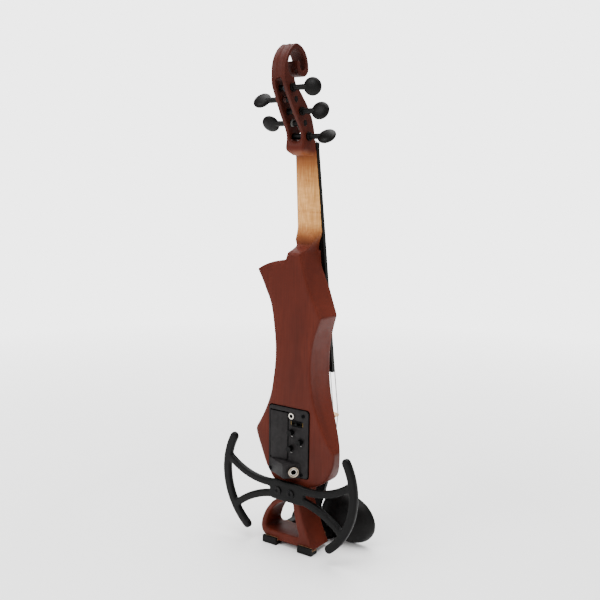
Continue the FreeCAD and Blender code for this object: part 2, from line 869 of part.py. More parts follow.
def make_chin_rest():
    """Cup beside the tailpiece, a bar across it and two legs on the tail loop."""
    front = size("rest_front")
    tilt = Rotation(Vector(0, 1, 0), CUP_TILT)
    place = Placement(Vector(CUP_X, -front, CUP_Z), tilt)
    shell = doc.addObject("Part::Ellipsoid", "cup_outside")
    shell.Radius1, shell.Radius2, shell.Radius3 = CUP_OUTSIDE
    shell.Placement = place
    body = new_body("rest_bar")
    outline = new_sketch(body, "bar_outline", "XZ_Plane", "@rest_front - @rest_plate")
    draw(
        outline,
        (-46.0, 0.1),
        (31.0, 0.0),
        ((36.4, 2.4), (37.0, 8.0)),
        ((33.0, 20.0), (20.0, 25.0)),
        ((0.0, 30.0), (-16.0, 44.0)),
        (-46.0, 40.0),
    )
    add_pad(body, "bar_pad", outline, "@rest_plate")
    legs = new_sketch(body, "legs", "XZ_Plane", "39 + @cork")
    for hand in (-1, 1):
        draw_round_box(legs, hand * 25.0 - 5.5, 6.2, hand * 25.0 + 5.5, 16.0, 2.0)
    add_pad(body, "leg_pad", legs, "@rest_front - 39 - @cork - 1")
    posts = new_sketch(body, "rod_posts", "XZ_Plane", "@rest_front - @rest_plate - 8")
    for hand in (-1, 1):
        draw_round_box(posts, hand * size("rod_x") - 4.0, 0.2, hand * size("rod_x") + 4.0, 9.0, 2.0)
    add_pad(body, "post_pad", posts, "10")
    whole = join("rest_outside", [shell, body])
    hollow = doc.addObject("Part::Ellipsoid", "cup_inside")
    hollow.Radius1, hollow.Radius2, hollow.Radius3 = CUP_INSIDE
    hollow.Placement = place
    ahead = block("ahead_of_rim", (-110.0, -front - 60.0, -40.0), (200.0, 60.0, 160.0))
    tools = [hollow, ahead]
    for hand in (-1, 1):
        start = (hand * size("rod_x"), -front + 1.5, size("rod_z"))
        tools.append(rod("rod_socket", "@rod_radius", "20", start, (0, 1, 0)))
    return take_away("rest", whole, tools)


def make_rest_corks():
    pads = []
    for hand in (-1, 1):
        corner = (hand * 25.0 - 5.5, -39.0 - size("cork"), 6.5)
        pads.append(block("leg_cork", corner, (11.0, size("cork"), 9.5)))
    return pads


def make_clamp_foot(hand):
    """L-shaped foot that hooks the lower edge of the tail loop, with its threaded rod."""
    body = new_body("foot_treble" if hand > 0 else "foot_bass")
    side = new_sketch(body, "foot_side", "YZ_Plane", "%d * @rod_x - @foot_width / 2" % hand)
    top = size("foot_height")
    ledge = 5.5 - size("cork")
    outer = -size("back_offset") + size("cork")
    draw(
        side,
        (-13.0, 0.0),
        (-1.4, 0.0),
        ((-0.4, 0.4), (0.0, 1.4)),
        (0.0, top - 1.0),
        ((-0.3, top - 0.3), (-1.0, top)),
        (outer, top),
        (outer, ledge),
        (-13.0, ledge),
    )
    add_pad(body, "foot_pad", side, "@foot_width")
    shank = new_sketch(body, "foot_rod", "XZ_Plane", "13")
    draw_circle(shank, hand * size("rod_x"), size("rod_z"), "@rod_radius")
    add_pad(body, "rod_pad", shank, "14")
    return body


def make_clamp_cork(hand):
    """Thin L of cork between a clamp foot and the wood."""
    body = new_body("cork_treble" if hand > 0 else "cork_bass")
    side = new_sketch(body, "cork_side", "YZ_Plane", "%d * @rod_x - @foot_width / 2 + 0.2" % hand)
    back = -size("back_offset")
    draw(
        side,
        (-13.0, 5.5 - size("cork")),
        (back + size("cork"), 5.5 - size("cork")),
        (back + size("cork"), size("foot_height")),
        (back, size("foot_height")),
        (back, 5.5),
        (-13.0, 5.5),
    )
    add_pad(body, "cork_pad", side, "@foot_width - 0.4")
    return body


def make_rest_rod(hand):
    start = (hand * size("rod_x"), -size("rest_front") + 1.5, size("rod_z"))
    return rod("rest_rod", "@rod_radius", "@rest_front - 1.5 - 37", start, (0, 1, 0))


def make_barrel(hand):
    """Turnbuckle with a cross hole for the tommy bar."""
    body = new_body("turnbuckle")
    x, z = hand * size("rod_x"), size("rod_z")
    ring = new_sketch(body, "barrel_ring", "XZ_Plane", "20")
    draw_circle(ring, x, z, "@barrel_radius")
    draw_circle(ring, x, z, "@rod_radius + 0.06")
    add_pad(body, "barrel_pad", ring, "@barrel_length")
    key = new_sketch(body, "key_hole", "XY_Plane")
    draw_circle(key, x, -20.0 - size("barrel_length") / 2, "0.7")
    add_pocket(body, "key_bore", key, "8", True)
    return body


# ---------------------------------------------------------------- shoulder-rest frame


def draw_band(sketch, centre, radius, start, end, width):
    """A strip bent round a centre, with round ends; angles in degrees from +X."""
    def at(reach, angle):
        turn = math.radians(angle)
        return (centre[0] + reach * math.cos(turn), centre[1] + reach * math.sin(turn))

    outer, inner = radius + width / 2, radius - width / 2
    middle = (start + end) / 2
    cap = math.degrees(width / 2 / radius) * (1 if end > start else -1)
    return draw(
        sketch,
        at(outer, start),
        (at(outer, middle), at(outer, end)),
        (at(radius, end + cap), at(inner, end)),
        (at(inner, middle), at(inner, start)),
        (at(radius, start - cap), at(outer, start)),
    )


def make_frame():
    """Centre plate, four curved arms and two bowed side bars, moulded in one piece."""
    body = new_body("frame_blank")
    bands = []
    for hand in (-1, 1):
        side = (FRAME_X + hand * 5.2, 86.2)
        upper = (FRAME_X + hand * 31.4, 170.3)
        lower = (FRAME_X + hand * 3.1, -41.4)
        spans = (
            (side, 87.0, -50.5, 28.7, 10.5),
            (upper, 89.0, -97.5, -52.5, 9.0),
            (lower, 111.4, 48.5, 82.5, 9.0),
        )
        for centre, radius, start, end, width in spans:
            if hand < 0:
                start, end = 180.0 - end, 180.0 - start
            bands.append((centre, radius, start, end, width))
    for number, band in enumerate(bands):
        sketch = new_sketch(body, "band_%d" % number, "XZ_Plane", "-@frame_outer")
        draw_band(sketch, *band)
        add_pad(body, "band_pad_%d" % number, sketch, "@frame_thickness")
    plate = new_sketch(body, "plate", "XZ_Plane", "-@frame_outer")
    draw_round_box(plate, FRAME_X - 25.0, 62.5, FRAME_X + 25.0, 87.0, 6.0)
    add_pad(body, "plate_pad", plate, "@frame_thickness")
    holes = new_sketch(body, "frame_holes", "XZ_Plane", "-@frame_outer")
    for hand in (-1, 1):
        draw_circle(holes, hand * size("frame_screw_x"), size("frame_screw_z"), "@frame_screw_radius")
    add_pocket(body, "frame_bores", holes, "@frame_thickness", True)
    return body


def frame_screw_axis(hand, y):
    return (hand * size("frame_screw_x"), y, size("frame_screw_z"))


def make_frame_spacer(hand):
    """Ring that holds the frame's plate off the back."""
    out = (0, 1, 0)
    ring = rod("spacer_ring", "@frame_screw_head", "@back_offset - 1", frame_screw_axis(hand, -4.0), out)
    bore = rod("spacer_bore", "@frame_screw_radius", "@back_offset", frame_screw_axis(hand, -4.5), out)
    return take_away("spacer", ring, [bore])


def make_frame_screw(hand):
    """Pan-head wood screw through the plate and its spacer."""
    out = (0, 1, 0)
    shank = rod("screw_shank", "@frame_screw_radius", "25", frame_screw_axis(hand, -19.0), out)
    outside = frame_screw_axis(hand, size("frame_outer"))
    head = rod("screw_head", "@frame_screw_head", "1.3", outside, out)
    x, y, z = frame_screw_axis(hand, size("frame_outer") + 0.4)
    return take_away("frame_screw", join("screw_blank", [shank, head]), cross_recess(x, y, z, 5.0, 1.1))


def cross_recess(x, y, z, length, width):
    """Two crossed slots for a screwdriver, sunk from the back."""
    flat = block("recess", (x - length / 2, y, z - width / 2), (length, 4.0, width))
    tall = block("recess", (x - width / 2, y, z - length / 2), (width, 4.0, length))
    return [flat, tall]


# ---------------------------------------------------------------- electronics


def make_panel():
    body = new_body("panel_blank")
    flange = new_sketch(body, "flange", "XZ_Plane", "@back_offset")
    draw_round_box(flange, -28.0, 94.0, 28.8, 176.0, 4.0)
    add_pad(body, "flange_pad", flange, "@panel_thickness", True)
    chest = new_sketch(body, "battery_box", "XZ_Plane", "@back_offset")
    draw_box(chest, 1.8, 109.8, 26.8, 167.2)
    add_pad(body, "box_pad", chest, "@box_depth")
    wedge = new_sketch(body, "jack_wedge", "XY_Plane", "@wedge_z")
    surface = size("panel_thickness") - size("back_offset")
    draw(
        wedge,
        (26.0, surface),
        (0.8, 9.2),
        ((-2.6, 10.3), (-5.6, 8.2)),
        (-16.6, surface),
        (-16.6, surface - 1.0),
        (26.0, surface - 1.0),
    )
    add_pad(body, "wedge_pad", wedge, "@wedge_height")
    hollow = new_sketch(body, "wedge_hollow", "XY_Plane", "@wedge_z + 1.8")
    back = -size("back_offset") - 0.5
    draw(hollow, (22.5, back), (0.2, 7.2), ((-2.4, 8.1), (-4.8, 6.4)), (-15.0, -3.8), (-15.0, back))
    add_pocket(body, "wedge_cut", hollow, "@wedge_height - 3.6", True)

    face = "@back_offset - @panel_thickness"
    window = new_sketch(body, "lid_window", "XZ_Plane", face)
    draw_box(window, 0.8, 110.6, 27.5, 170.6)
    add_pocket(body, "window_cut", window, "@panel_thickness", True)
    room = new_sketch(body, "battery_room", "XZ_Plane", "@back_offset")
    draw_box(room, 3.0, 111.0, 25.6, 166.0)
    add_pocket(body, "room_cut", room, "@box_depth - @box_wall", True)

    holes = new_sketch(body, "control_holes", "XZ_Plane", face)
    for x, z in KNOBS.values():
        draw_circle(holes, x, z, "@stem_radius + @stem_clearance")
    draw_circle(holes, *PHONE_JACK, "3.1")
    draw_box(holes, -21.0, 156.4, -3.0, 161.4)
    for x, z in PANEL_SCREWS:
        draw_circle(holes, x, z, "@panel_screw_radius")
    add_pocket(body, "control_cut", holes, "@panel_thickness", True)
    way = rod("jack_way", "4.6", "12", JACK_FACE, JACK_OUT)
    way.Placement.Base = way.Placement.Base - Vector(*JACK_OUT).normalize() * 5.0
    pin_holes = []
    for x in (-0.5, 27.3):
        hole_start = (x, LID_HINGE_Y, LID_HINGE_Z)
        pin_holes.append(rod("hinge_hole", str(HINGE_HOLE), "1.4", hole_start, (1, 0, 0)))
    screw_x, screw_z = PANEL_SCREWS[-1]
    screw_seat = rod("screw_seat", "@panel_screw_head + 0.3", "9", (screw_x, surface, screw_z), (0, 1, 0))
    return take_away("panel", body, [way, screw_seat] + pin_holes)


def make_lid():
    body = new_body("lid_blank")
    face = new_sketch(body, "lid_outline", "XZ_Plane", "@back_offset - 0.05")
    step_z = LID_HINGE_Z + 0.6
    draw(
        face,
        (3.3, 111.2),
        (25.3, 111.2),
        (25.3, step_z),
        (26.9, step_z),
        (26.9, 169.8),
        (1.5, 169.8),
        (1.5, step_z),
        (3.3, step_z),
    )
    add_pad(body, "lid_pad", face, "@panel_thickness - 0.1", True)
    pin = rod("hinge_pin", str(HINGE_PIN), "28", (0.1, LID_HINGE_Y, LID_HINGE_Z), (1, 0, 0))
    return join("lid", [body, pin])


def make_battery():
    cell_block = block("battery_block", (5.5, -33.0, 114.0), (17.5, 26.5, 46.2))
    anode = rod("anode", "3.4", "2.3", (14.2, -26.0, 160.0), (0, 0, 1))
    cathode = rod("cathode", "2.8", "2.3", (14.2, -13.5, 160.0), (0, 0, 1))
    return join("battery", [cell_block, anode, cathode])


def make_battery_clip():
    return block("clip", (6.0, -32.5, 162.4), (16.5, 25.5, 3.0))


def make_circuit_board():
    board = block("board_sheet", (-23.0, -19.0, 112.6), (23.6, 1.6, 49.0))
    chips = [board]
    for x, z, wide_x, tall in ((-20.0, 116.0, 8.0, 6.0), (-9.0, 118.0, 5.0, 5.0), (-19.0, 126.0, 5.0, 4.0)):
        chips.append(block("chip", (x, -17.6, z), (wide_x, 1.8, tall)))
    for x, z in ((-20.0, 150.0), (-14.0, 150.0), (-20.0, 158.0)):
        chips.append(rod("capacitor", "2.2", "5.5", (x, -17.8, z), (0, 1, 0)))
    return join("board_loaded", chips)


def make_pot(x, z):
    case = block("pot_case", (x - 4.0, -10.2, z - 4.0), (8.0, 6.2, 8.0))
    bore = rod("pot_bore", "@stem_radius + @stem_clearance", "8", (x, -11.0, z), (0, 1, 0))
    return take_away("pot", case, [bore])


def make_knob(name, x, z):
    """Small fluted knob on its stem."""
    body = new_body("knob_" + name)
    cap = new_sketch(body, "cap", "XZ_Plane", "1.9")
    draw_circle(cap, x, z, "@knob_radius")
    add_pad(body, "cap_pad", cap, "@knob_height", True)
    stem = new_sketch(body, "stem", "XZ_Plane", "9.8")
    draw_circle(stem, x, z, "@stem_radius")
    add_pad(body, "stem_pad", stem, "9", True)
    flutes = new_sketch(body, "flutes", "XZ_Plane", "1.1")
    count = 12
    for step in range(count):
        angle = 2 * math.pi * step / count
        reach = size("knob_radius") + 0.25
        draw_circle(flutes, x + reach * math.cos(angle), z + reach * math.sin(angle), "0.6")
    add_pocket(body, "flute_cut", flutes, "8")
    mark = new_sketch(body, "pointer", "XZ_Plane", "1.9 - @knob_height")
    draw_box(mark, x - 0.3, z - 3.4, x + 0.3, z - 0.6)
    add_pocket(body, "pointer_cut", mark, "0.4", True)
    return body


def make_selector():
    """Metal frame of the slide switch, flush with the panel and open for its button."""
    body = new_body("switch_case")
    case = new_sketch(body, "case", "XZ_Plane", "9")
    draw_box(case, -20.9, 156.5, -3.1, 161.3)
    add_pad(body, "case_pad", case, "6.55", True)
    track = new_sketch(body, "track", "XZ_Plane", "1.4")
    draw_box(track, -18.0, 157.7, -6.0, 160.1)
    add_pocket(body, "track_cut", track, "4.5", True)
    return body


def make_bezel():
    """Raised black surround of the slide switch, which leaves the metal ears bare."""
    body = new_body("switch_bezel")
    rim = new_sketch(body, "rim", "XZ_Plane", "@back_offset - @panel_thickness")
    draw_round_box(rim, -19.0, 155.3, -5.0, 162.3, 0.8)
    add_pad(body, "rim_pad", rim, "1.1", True)
    window = new_sketch(body, "window", "XZ_Plane", "0")
    draw_box(window, -17.9, 157.5, -6.1, 160.3)
    add_pocket(body, "bezel_cut", window, "4", True)
    return body


def make_slider():
    body = new_body("switch_button")
    sketch = new_sketch(body, "button", "XZ_Plane", "5.6")
    draw_box(sketch, -13.6, 157.78, -10.4, 160.02)
    add_pad(body, "button_pad", sketch, "6", True)
    return body


def make_headphone_jack():
    x, z = PHONE_JACK
    surface = size("panel_thickness") - size("back_offset")
    ring = rod("phone_ring", "@phone_ring", "1.2", (x, surface, z), (0, 1, 0))
    collar = rod("phone_collar", "3.1", "1.7", (x, surface - 1.65, z), (0, 1, 0))
    case = block("phone_case", (x - 4.0, -16.0, z - 4.0), (8.0, 12.0, 8.0))
    bore = rod("phone_bore", "@phone_bore", "14", (x, -13.2, z), (0, 1, 0))
    mouth = rod("phone_mouth", "@phone_mouth", "2", (x, surface + 0.3, z), (0, 1, 0))
    return take_away("phone_jack", join("phone_blank", [ring, collar, case]), [bore, mouth])


def jack_point(along):
    """A point on the output jack's axis, measured outwards from the sloping face."""
    out = Vector(*JACK_OUT).normalize()
    return tuple(Vector(*JACK_FACE) + out * along)


def make_output_jack():
    barrel = rod("jack_barrel", "@jack_radius", "@jack_length - 2", jack_point(-24.0), JACK_OUT)
    neck = rod("jack_neck", "4.6", "5", jack_point(-2.2), JACK_OUT)
    bore = rod("jack_bore", "@jack_bore", "@jack_length + 4", jack_point(-22.0), JACK_OUT)
    return take_away("output", join("output_blank", [barrel, neck]), [bore])


def make_jack_nut():
    """Round ring nut that stands a little proud of the threaded neck."""
    ring = rod("nut_ring", "6.2", "3.2", jack_point(0.05), JACK_OUT)
    hole = rod("nut_hole", "4.6", "6", jack_point(-1.0), JACK_OUT)
    return take_away("jack_ring", ring, [hole])


def make_panel_screw(x, z):
    surface = size("panel_thickness") - size("back_offset")
    shank = rod("small_shank", "@panel_screw_radius", "6", (x, surface - 5.5, z), (0, 1, 0))
    head = rod("small_head", "@panel_screw_head", "1", (x, surface, z), (0, 1, 0))
    recess = cross_recess(x, surface + 0.5, z, 2.8, 0.6)
    return take_away("small_screw", join("small_blank", [shank, head]), recess)


def make_pickup_cable():
    """Lead from the circuit board through the body to the pickup under the bridge's bass foot."""
    return rod("cable", "@cable_radius", "31.3", (PICKUP_X, -19.1, size("bridge_z")), (0, -1, 0))


# ---------------------------------------------------------------- the whole instrument


def make_all():
    neck = make_neck()
    bores = [peg_bore("peg_" + name, *values[:3]) for name, values in PEGS.items()]
    keep(make_body(), "body")
    keep(take_away("neck_cut", neck, bores), "neck_and_scroll")
    keep(make_fingerboard(), "fingerboard")
    keep(make_nut(), "nut")
    for name, (side, y, z, turn, winding) in PEGS.items():
        keep(make_peg("peg_" + name, side, y, z, turn), name + "_peg")
    for name, (slot, radius) in STRINGS.items():
        keep(make_string(name, slot, radius), name + "_string")
        keep_on_tail(make_lever(name, slot), name + "_tuner_lever")
        keep_on_tail(make_tuner(name, slot), name + "_tuner_screw")
    keep(make_bridge(), "bridge")
    keep(join("wafers", make_pickup()), "bridge_pickup")
    keep(make_pickup_cable(), "pickup_cable")
    keep_on_tail(make_tailpiece(), "tailpiece")
    keep(make_tailgut(), "tailgut")
    keep(make_end_pin(), "end_pin")

    hands = (-1, 1)
    keep(make_chin_rest(), "chin_rest")
    keep(join("rest_corks", make_rest_corks()), "chin_rest_corks")
    keep(join("clamp_feet_pair", [make_clamp_foot(hand) for hand in hands]), "chin_rest_clamp_feet")
    keep(join("clamp_corks", [make_clamp_cork(hand) for hand in hands]), "clamp_foot_corks")
    keep(join("rest_rods", [make_rest_rod(hand) for hand in hands]), "chin_rest_rods")
    keep(make_barrel(-1), "clamp_barrel_bass")
    keep(make_barrel(1), "clamp_barrel_treble")

    keep(make_frame(), "shoulder_rest_frame")
    keep(join("spacers", [make_frame_spacer(hand) for hand in hands]), "frame_spacers")
    keep(join("frame_screw_pair", [make_frame_screw(hand) for hand in hands]), "frame_screws")

    keep(make_panel(), "electronics_panel")
    keep(make_lid(), "battery_lid")
    keep(make_battery(), "battery")
    keep(make_battery_clip(), "battery_clip")
    keep(make_circuit_board(), "circuit_board")
    keep(join("pots", [make_pot(x, z) for x, z in KNOBS.values()]), "potentiometers")
    for name, (x, z) in KNOBS.items():
        keep(make_knob(name, x, z), name + "_knob")
    keep(make_selector(), "selector_switch")
    keep(make_bezel(), "selector_bezel")
    keep(make_slider(), "selector_button")
    keep(make_headphone_jack(), "headphone_jack")
    keep(make_output_jack(), "output_jack")
    keep(make_jack_nut(), "output_jack_nut")
    keep(join("small_screws", [make_panel_screw(x, z) for x, z in PANEL_SCREWS]), "panel_screws")


def check_all():
    """Stop before anything is written if an object failed or a shape is unsound."""
    for item in doc.Objects:
        if "Invalid" in item.State or "Error" in item.State:
            raise RuntimeError(item.Label + " failed: " + str(item.State))
    for item in nodes:
        if item.Shape.isNull() or not item.Shape.isValid() or not item.Shape.Solids:
            raise RuntimeError(item.Label + " has no sound shape")


make_all()
doc.recompute()
check_all()
os.makedirs("parts", exist_ok=True)
for node in nodes:
    node.Shape.exportStep("parts/%s.step" % node.Label)
    print(node.Label, len(node.Shape.Solids), round(node.Shape.Volume))
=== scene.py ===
import json
import math

import bmesh
import bpy
import numpy as np
from mathutils import Matrix, Vector
from mathutils.geometry import convex_hull_2d


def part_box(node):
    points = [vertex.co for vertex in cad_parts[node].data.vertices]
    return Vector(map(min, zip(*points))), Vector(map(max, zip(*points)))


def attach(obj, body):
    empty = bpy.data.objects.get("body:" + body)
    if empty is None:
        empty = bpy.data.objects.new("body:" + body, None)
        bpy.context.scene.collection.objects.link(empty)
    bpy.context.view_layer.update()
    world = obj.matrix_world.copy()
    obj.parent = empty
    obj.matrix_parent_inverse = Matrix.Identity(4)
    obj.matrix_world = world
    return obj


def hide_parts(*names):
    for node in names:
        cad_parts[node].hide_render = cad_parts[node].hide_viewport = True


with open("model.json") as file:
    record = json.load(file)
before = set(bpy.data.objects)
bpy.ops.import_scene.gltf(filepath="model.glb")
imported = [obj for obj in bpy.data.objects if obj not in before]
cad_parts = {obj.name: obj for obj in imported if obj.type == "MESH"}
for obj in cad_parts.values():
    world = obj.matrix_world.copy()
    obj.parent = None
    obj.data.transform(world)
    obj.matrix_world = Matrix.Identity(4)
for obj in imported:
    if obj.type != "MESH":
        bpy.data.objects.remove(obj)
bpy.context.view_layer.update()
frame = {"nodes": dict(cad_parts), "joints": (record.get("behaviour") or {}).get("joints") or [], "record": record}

MM = 0.001

# Places that the looks are built from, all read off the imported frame.
CENTRE_X = sum(corner.x for corner in map(Vector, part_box("nut"))) / 2
BACK_Y = Vector(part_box("body")[1]).y
NUT_Z = Vector(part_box("nut")[0]).z
HEEL_Z = Vector(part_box("body")[1]).z
SCROLL_TOP = Vector(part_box("neck_and_scroll")[1]).z
SCREW_HEAD = 1.0 * MM
PANEL_FACE = Vector(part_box("panel_screws")[1]).y - SCREW_HEAD


# ------------------------------------------------------------------ materials


class Finish:
    """A node material that is built up from object-space noise, ramps and bumps."""

    def __init__(self, name, roughness, metallic=0.0, coat=0.0, specular=0.5):
        self.material = bpy.data.materials.new(name)
        self.material.use_nodes = True
        self.tree = self.material.node_tree
        self.shader = self.tree.nodes["Principled BSDF"]
        self.shader.inputs["Roughness"].default_value = roughness
        self.shader.inputs["Metallic"].default_value = metallic
        self.shader.inputs["Coat Weight"].default_value = coat
        self.shader.inputs["Coat Roughness"].default_value = 0.1
        self.shader.inputs["Specular IOR Level"].default_value = specular
        self.place = self.add("ShaderNodeTexCoord").outputs["Object"]

    def add(self, kind):
        return self.tree.nodes.new(kind)

    def link(self, source, target):
        self.tree.links.new(source, target)

    def noise(self, scale, stretch=(1, 1, 1), detail=3.0, warp=0.0):
        """Noise with `scale` cells per metre, drawn out along an axis by a small stretch factor."""
        mapping = self.add("ShaderNodeMapping")
        mapping.inputs["Scale"].default_value = [scale * part for part in stretch]
        self.link(self.place, mapping.inputs["Vector"])
        noise = self.add("ShaderNodeTexNoise")
        noise.inputs["Scale"].default_value = 1.0
        noise.inputs["Detail"].default_value = detail
        noise.inputs["Roughness"].default_value = 0.55
        noise.inputs["Distortion"].default_value = warp
        self.link(mapping.outputs["Vector"], noise.inputs["Vector"])
        return noise.outputs["Fac"]

    def ramp(self, value, stops):
        """Colour ramp from (position, (r, g, b)) stops."""
        ramp = self.add("ShaderNodeValToRGB")
        points = ramp.color_ramp.elements
        while len(points) < len(stops):
            points.new(0.5)
        for point, (position, colour) in zip(points, stops):
            point.position = position
            point.color = (*colour, 1.0)
        self.link(value, ramp.inputs["Fac"])
        return ramp.outputs["Color"]

    def span(self, value, low, high, new_low=0.0, new_high=1.0):
        """Remap a value, clamped."""
        node = self.add("ShaderNodeMapRange")
        ends = {"From Min": low, "From Max": high, "To Min": new_low, "To Max": new_high}
        for name, number in ends.items():
            node.inputs[name].default_value = number
        self.link(value, node.inputs["Value"])
        return node.outputs["Result"]

    def blend(self, factor, first, second, mode="MIX"):
        node = self.add("ShaderNodeMix")
        node.data_type = "RGBA"
        node.blend_type = mode
        for source, number in ((factor, 0), (first, 6), (second, 7)):
            if isinstance(source, tuple):
                node.inputs[number].default_value = (*source, 1.0)
            elif isinstance(source, float):
                node.inputs[number].default_value = source
            else:
                self.link(source, node.inputs[number])
        return node.outputs[2]

    def axis(self, letter):
        split = self.add("ShaderNodeSeparateXYZ")
        self.link(self.place, split.inputs["Vector"])
        return split.outputs[letter]

    def math(self, operation, first, second):
        node = self.add("ShaderNodeMath")
        node.operation = operation
        for number, source in enumerate((first, second)):
            if isinstance(source, float):
                node.inputs[number].default_value = source
            else:
                self.link(source, node.inputs[number])
        return node.outputs["Value"]

    def colour(self, source):
        self.link(source, self.shader.inputs["Base Color"])

    def roughness(self, value, low, high):
        self.link(self.span(value, 0.3, 0.7, low, high), self.shader.inputs["Roughness"])

    def bump(self, height, distance, strength=0.5):
        """Relief of `distance` metres; several calls add up."""
        node = self.add("ShaderNodeBump")
        node.inputs["Strength"].default_value = strength
        node.inputs["Distance"].default_value = distance
        self.link(height, node.inputs["Height"])
        normal = self.shader.inputs["Normal"]
        if normal.is_linked:
            self.link(normal.links[0].from_socket, node.inputs["Normal"])
        self.link(node.outputs["Normal"], normal)


# Colours of the stain in the grain's hollows, on its flanks and on its ridges.
STAIN_DARK = (0.044, 0.0072, 0.0036)
STAIN_MID = (0.074, 0.0122, 0.0062)
STAIN_LIGHT = (0.095, 0.0175, 0.0092)


def stained_grain(finish):
    """Fine long grain and cloudy colour of maple under a dark red-brown stain."""
    fibres = finish.noise(900.0, (1, 1, 0.035), 4.0)
    clouds = finish.noise(22.0, (1, 1, 0.35), 3.0, warp=0.6)
    grain = finish.ramp(fibres, [(0.30, STAIN_DARK), (0.52, STAIN_MID), (0.75, STAIN_LIGHT)])
    soft = finish.blend(0.62, grain, STAIN_MID)
    shade = finish.ramp(clouds, [(0.30, (0.72, 0.70, 0.70)), (0.70, (1.12, 1.10, 1.08))])
    return finish.blend(1.0, soft, shade, "MULTIPLY"), fibres


# How bare the grip is at heights above the heel, in metres.
FADE_LENGTH = 0.125
BARE_SHARE = (
    (0.008, 0.0),
    (0.020, 0.35),
    (0.036, 1.0),
    (0.074, 1.0),
    (0.098, 0.66),
    (0.116, 0.25),
    (0.121, 0.0),
)


def neck_wood():
    """Stained maple that turns to bare honey maple on the grip, with dark fades at both ends."""
    finish = Finish("stained_and_bare_maple", 0.5, specular=0.10)
    stain, fibres = stained_grain(finish)
    height = finish.axis("Z")
    darker = finish.span(height, NUT_Z - 0.010, NUT_Z + 0.030)
    smoked = finish.blend(1.0, stain, (0.50, 0.62, 0.75), "MULTIPLY")
    stain = finish.blend(finish.math("MULTIPLY", darker, 0.75), stain, smoked)
    amber, gold, straw = (0.42, 0.175, 0.045), (0.66, 0.330, 0.105), (0.80, 0.46, 0.180)
    honey = finish.ramp(fibres, [(0.25, amber), (0.55, gold), (0.8, straw)])
    curl = finish.noise(70.0, (0.5, 0.5, 3.0), 2.0, warp=1.2)
    flame = finish.ramp(curl, [(0.35, (0.90, 0.86, 0.80)), (0.65, (1.05, 1.05, 1.04))])
    honey = finish.blend(1.0, honey, flame, "MULTIPLY")
    wobble = finish.noise(45.0, detail=2.0)
    height = finish.math("ADD", height, finish.math("MULTIPLY", wobble, 0.008))
    share = finish.span(height, HEEL_Z, HEEL_Z + FADE_LENGTH)
    mask = finish.ramp(share, [(at / FADE_LENGTH, (level, level, level)) for at, level in BARE_SHARE])
    burst = finish.blend(mask, stain, (0.24, 0.060, 0.014))
    finish.colour(finish.blend(finish.math("POWER", mask, 2.2), burst, honey))
    finish.roughness(finish.noise(60.0), 0.43, 0.56)
    pores = finish.noise(2600.0, (1, 1, 0.05), 2.0)
    finish.bump(fibres, 0.00006, 0.2)
    finish.bump(pores, 0.00004, 0.15)
    return finish.material


def moulded(name, colour, light, roughness, grain, depth, shine):
    """Moulded plastic: spark-eroded texture and faint mottling."""
    finish = Finish(name, roughness, specular=shine)
    mottle = finish.noise(180.0, detail=2.0)
    base = finish.blend(finish.span(mottle, 0.3, 0.7), colour, light)
    finish.colour(base)
    texture = finish.noise(grain, detail=2.0)
    finish.bump(texture, depth, 0.35)
    finish.roughness(finish.noise(90.0), roughness - 0.05, roughness + 0.07)
    return finish.material


def black_wood(name, roughness):
    """Black-dyed hardwood with a faint long grain."""
    finish = Finish(name, roughness, specular=0.11)
    fibres = finish.noise(1400.0, (1, 1, 0.04), 3.0)
    deep, worn = (0.0010, 0.0010, 0.0010), (0.0065, 0.0055, 0.0050)
    finish.colour(finish.ramp(fibres, [(0.3, deep), (0.8, worn)]))
    finish.bump(fibres, 0.00004, 0.3)
    finish.roughness(finish.noise(120.0), roughness - 0.05, roughness + 0.08)
    return finish.material


def bare_maple():
    """Unstained maple with the short flecks of quarter-sawn wood."""
    finish = Finish("bare_maple", 0.5, specular=0.4)
    flecks = finish.noise(1500.0, (1, 0.25, 1), 3.0)
    fleck, plain_wood, pale = (0.36, 0.17, 0.07), (0.66, 0.42, 0.21), (0.78, 0.55, 0.31)
    finish.colour(finish.ramp(flecks, [(0.35, fleck), (0.5, plain_wood), (0.8, pale)]))
    finish.bump(flecks, 0.00005, 0.3)
    return finish.material


def metal(name, colour, tint, roughness):
    """Turned and plated metal with fine drawn lines and dull patches."""
    finish = Finish(name, roughness, metallic=1.0)
    lines = finish.noise(3000.0, (1, 0.05, 1), 2.0)
    patches = finish.noise(140.0, detail=3.0)
    finish.colour(finish.blend(finish.span(patches, 0.35, 0.65), colour, tint))
    finish.roughness(patches, roughness * 0.8, roughness * 1.3)
    finish.bump(lines, 0.00001, 0.2)
    return finish.material


def ring_pattern(finish, scale, distortion):
    """Rings of tape or thread across the run of a string."""
    rings = finish.add("ShaderNodeTexWave")
    rings.bands_direction = "Z"
    rings.inputs["Scale"].default_value = scale
    rings.inputs["Distortion"].default_value = distortion
    finish.link(finish.place, rings.inputs["Vector"])
    return rings.outputs["Fac"]


def wound_string():
    """Flat-wound steel."""
    finish = Finish("wound_string", 0.32, metallic=1.0)
    rings = ring_pattern(finish, 1100.0, 0.6)
    finish.colour(finish.ramp(rings, [(0.0, (0.070, 0.065, 0.060)), (1.0, (0.200, 0.190, 0.175))]))
    finish.bump(rings, 0.00004, 0.5)
    return finish.material


def silk(name, colour, dark):
    """Thread lapping at a string's ends."""
    finish = Finish(name + "_silk", 0.7)
    rings = ring_pattern(finish, 700.0, 1.5)
    finish.colour(finish.blend(rings, dark, colour))
    finish.bump(rings, 0.00005, 0.6)
    return finish.material


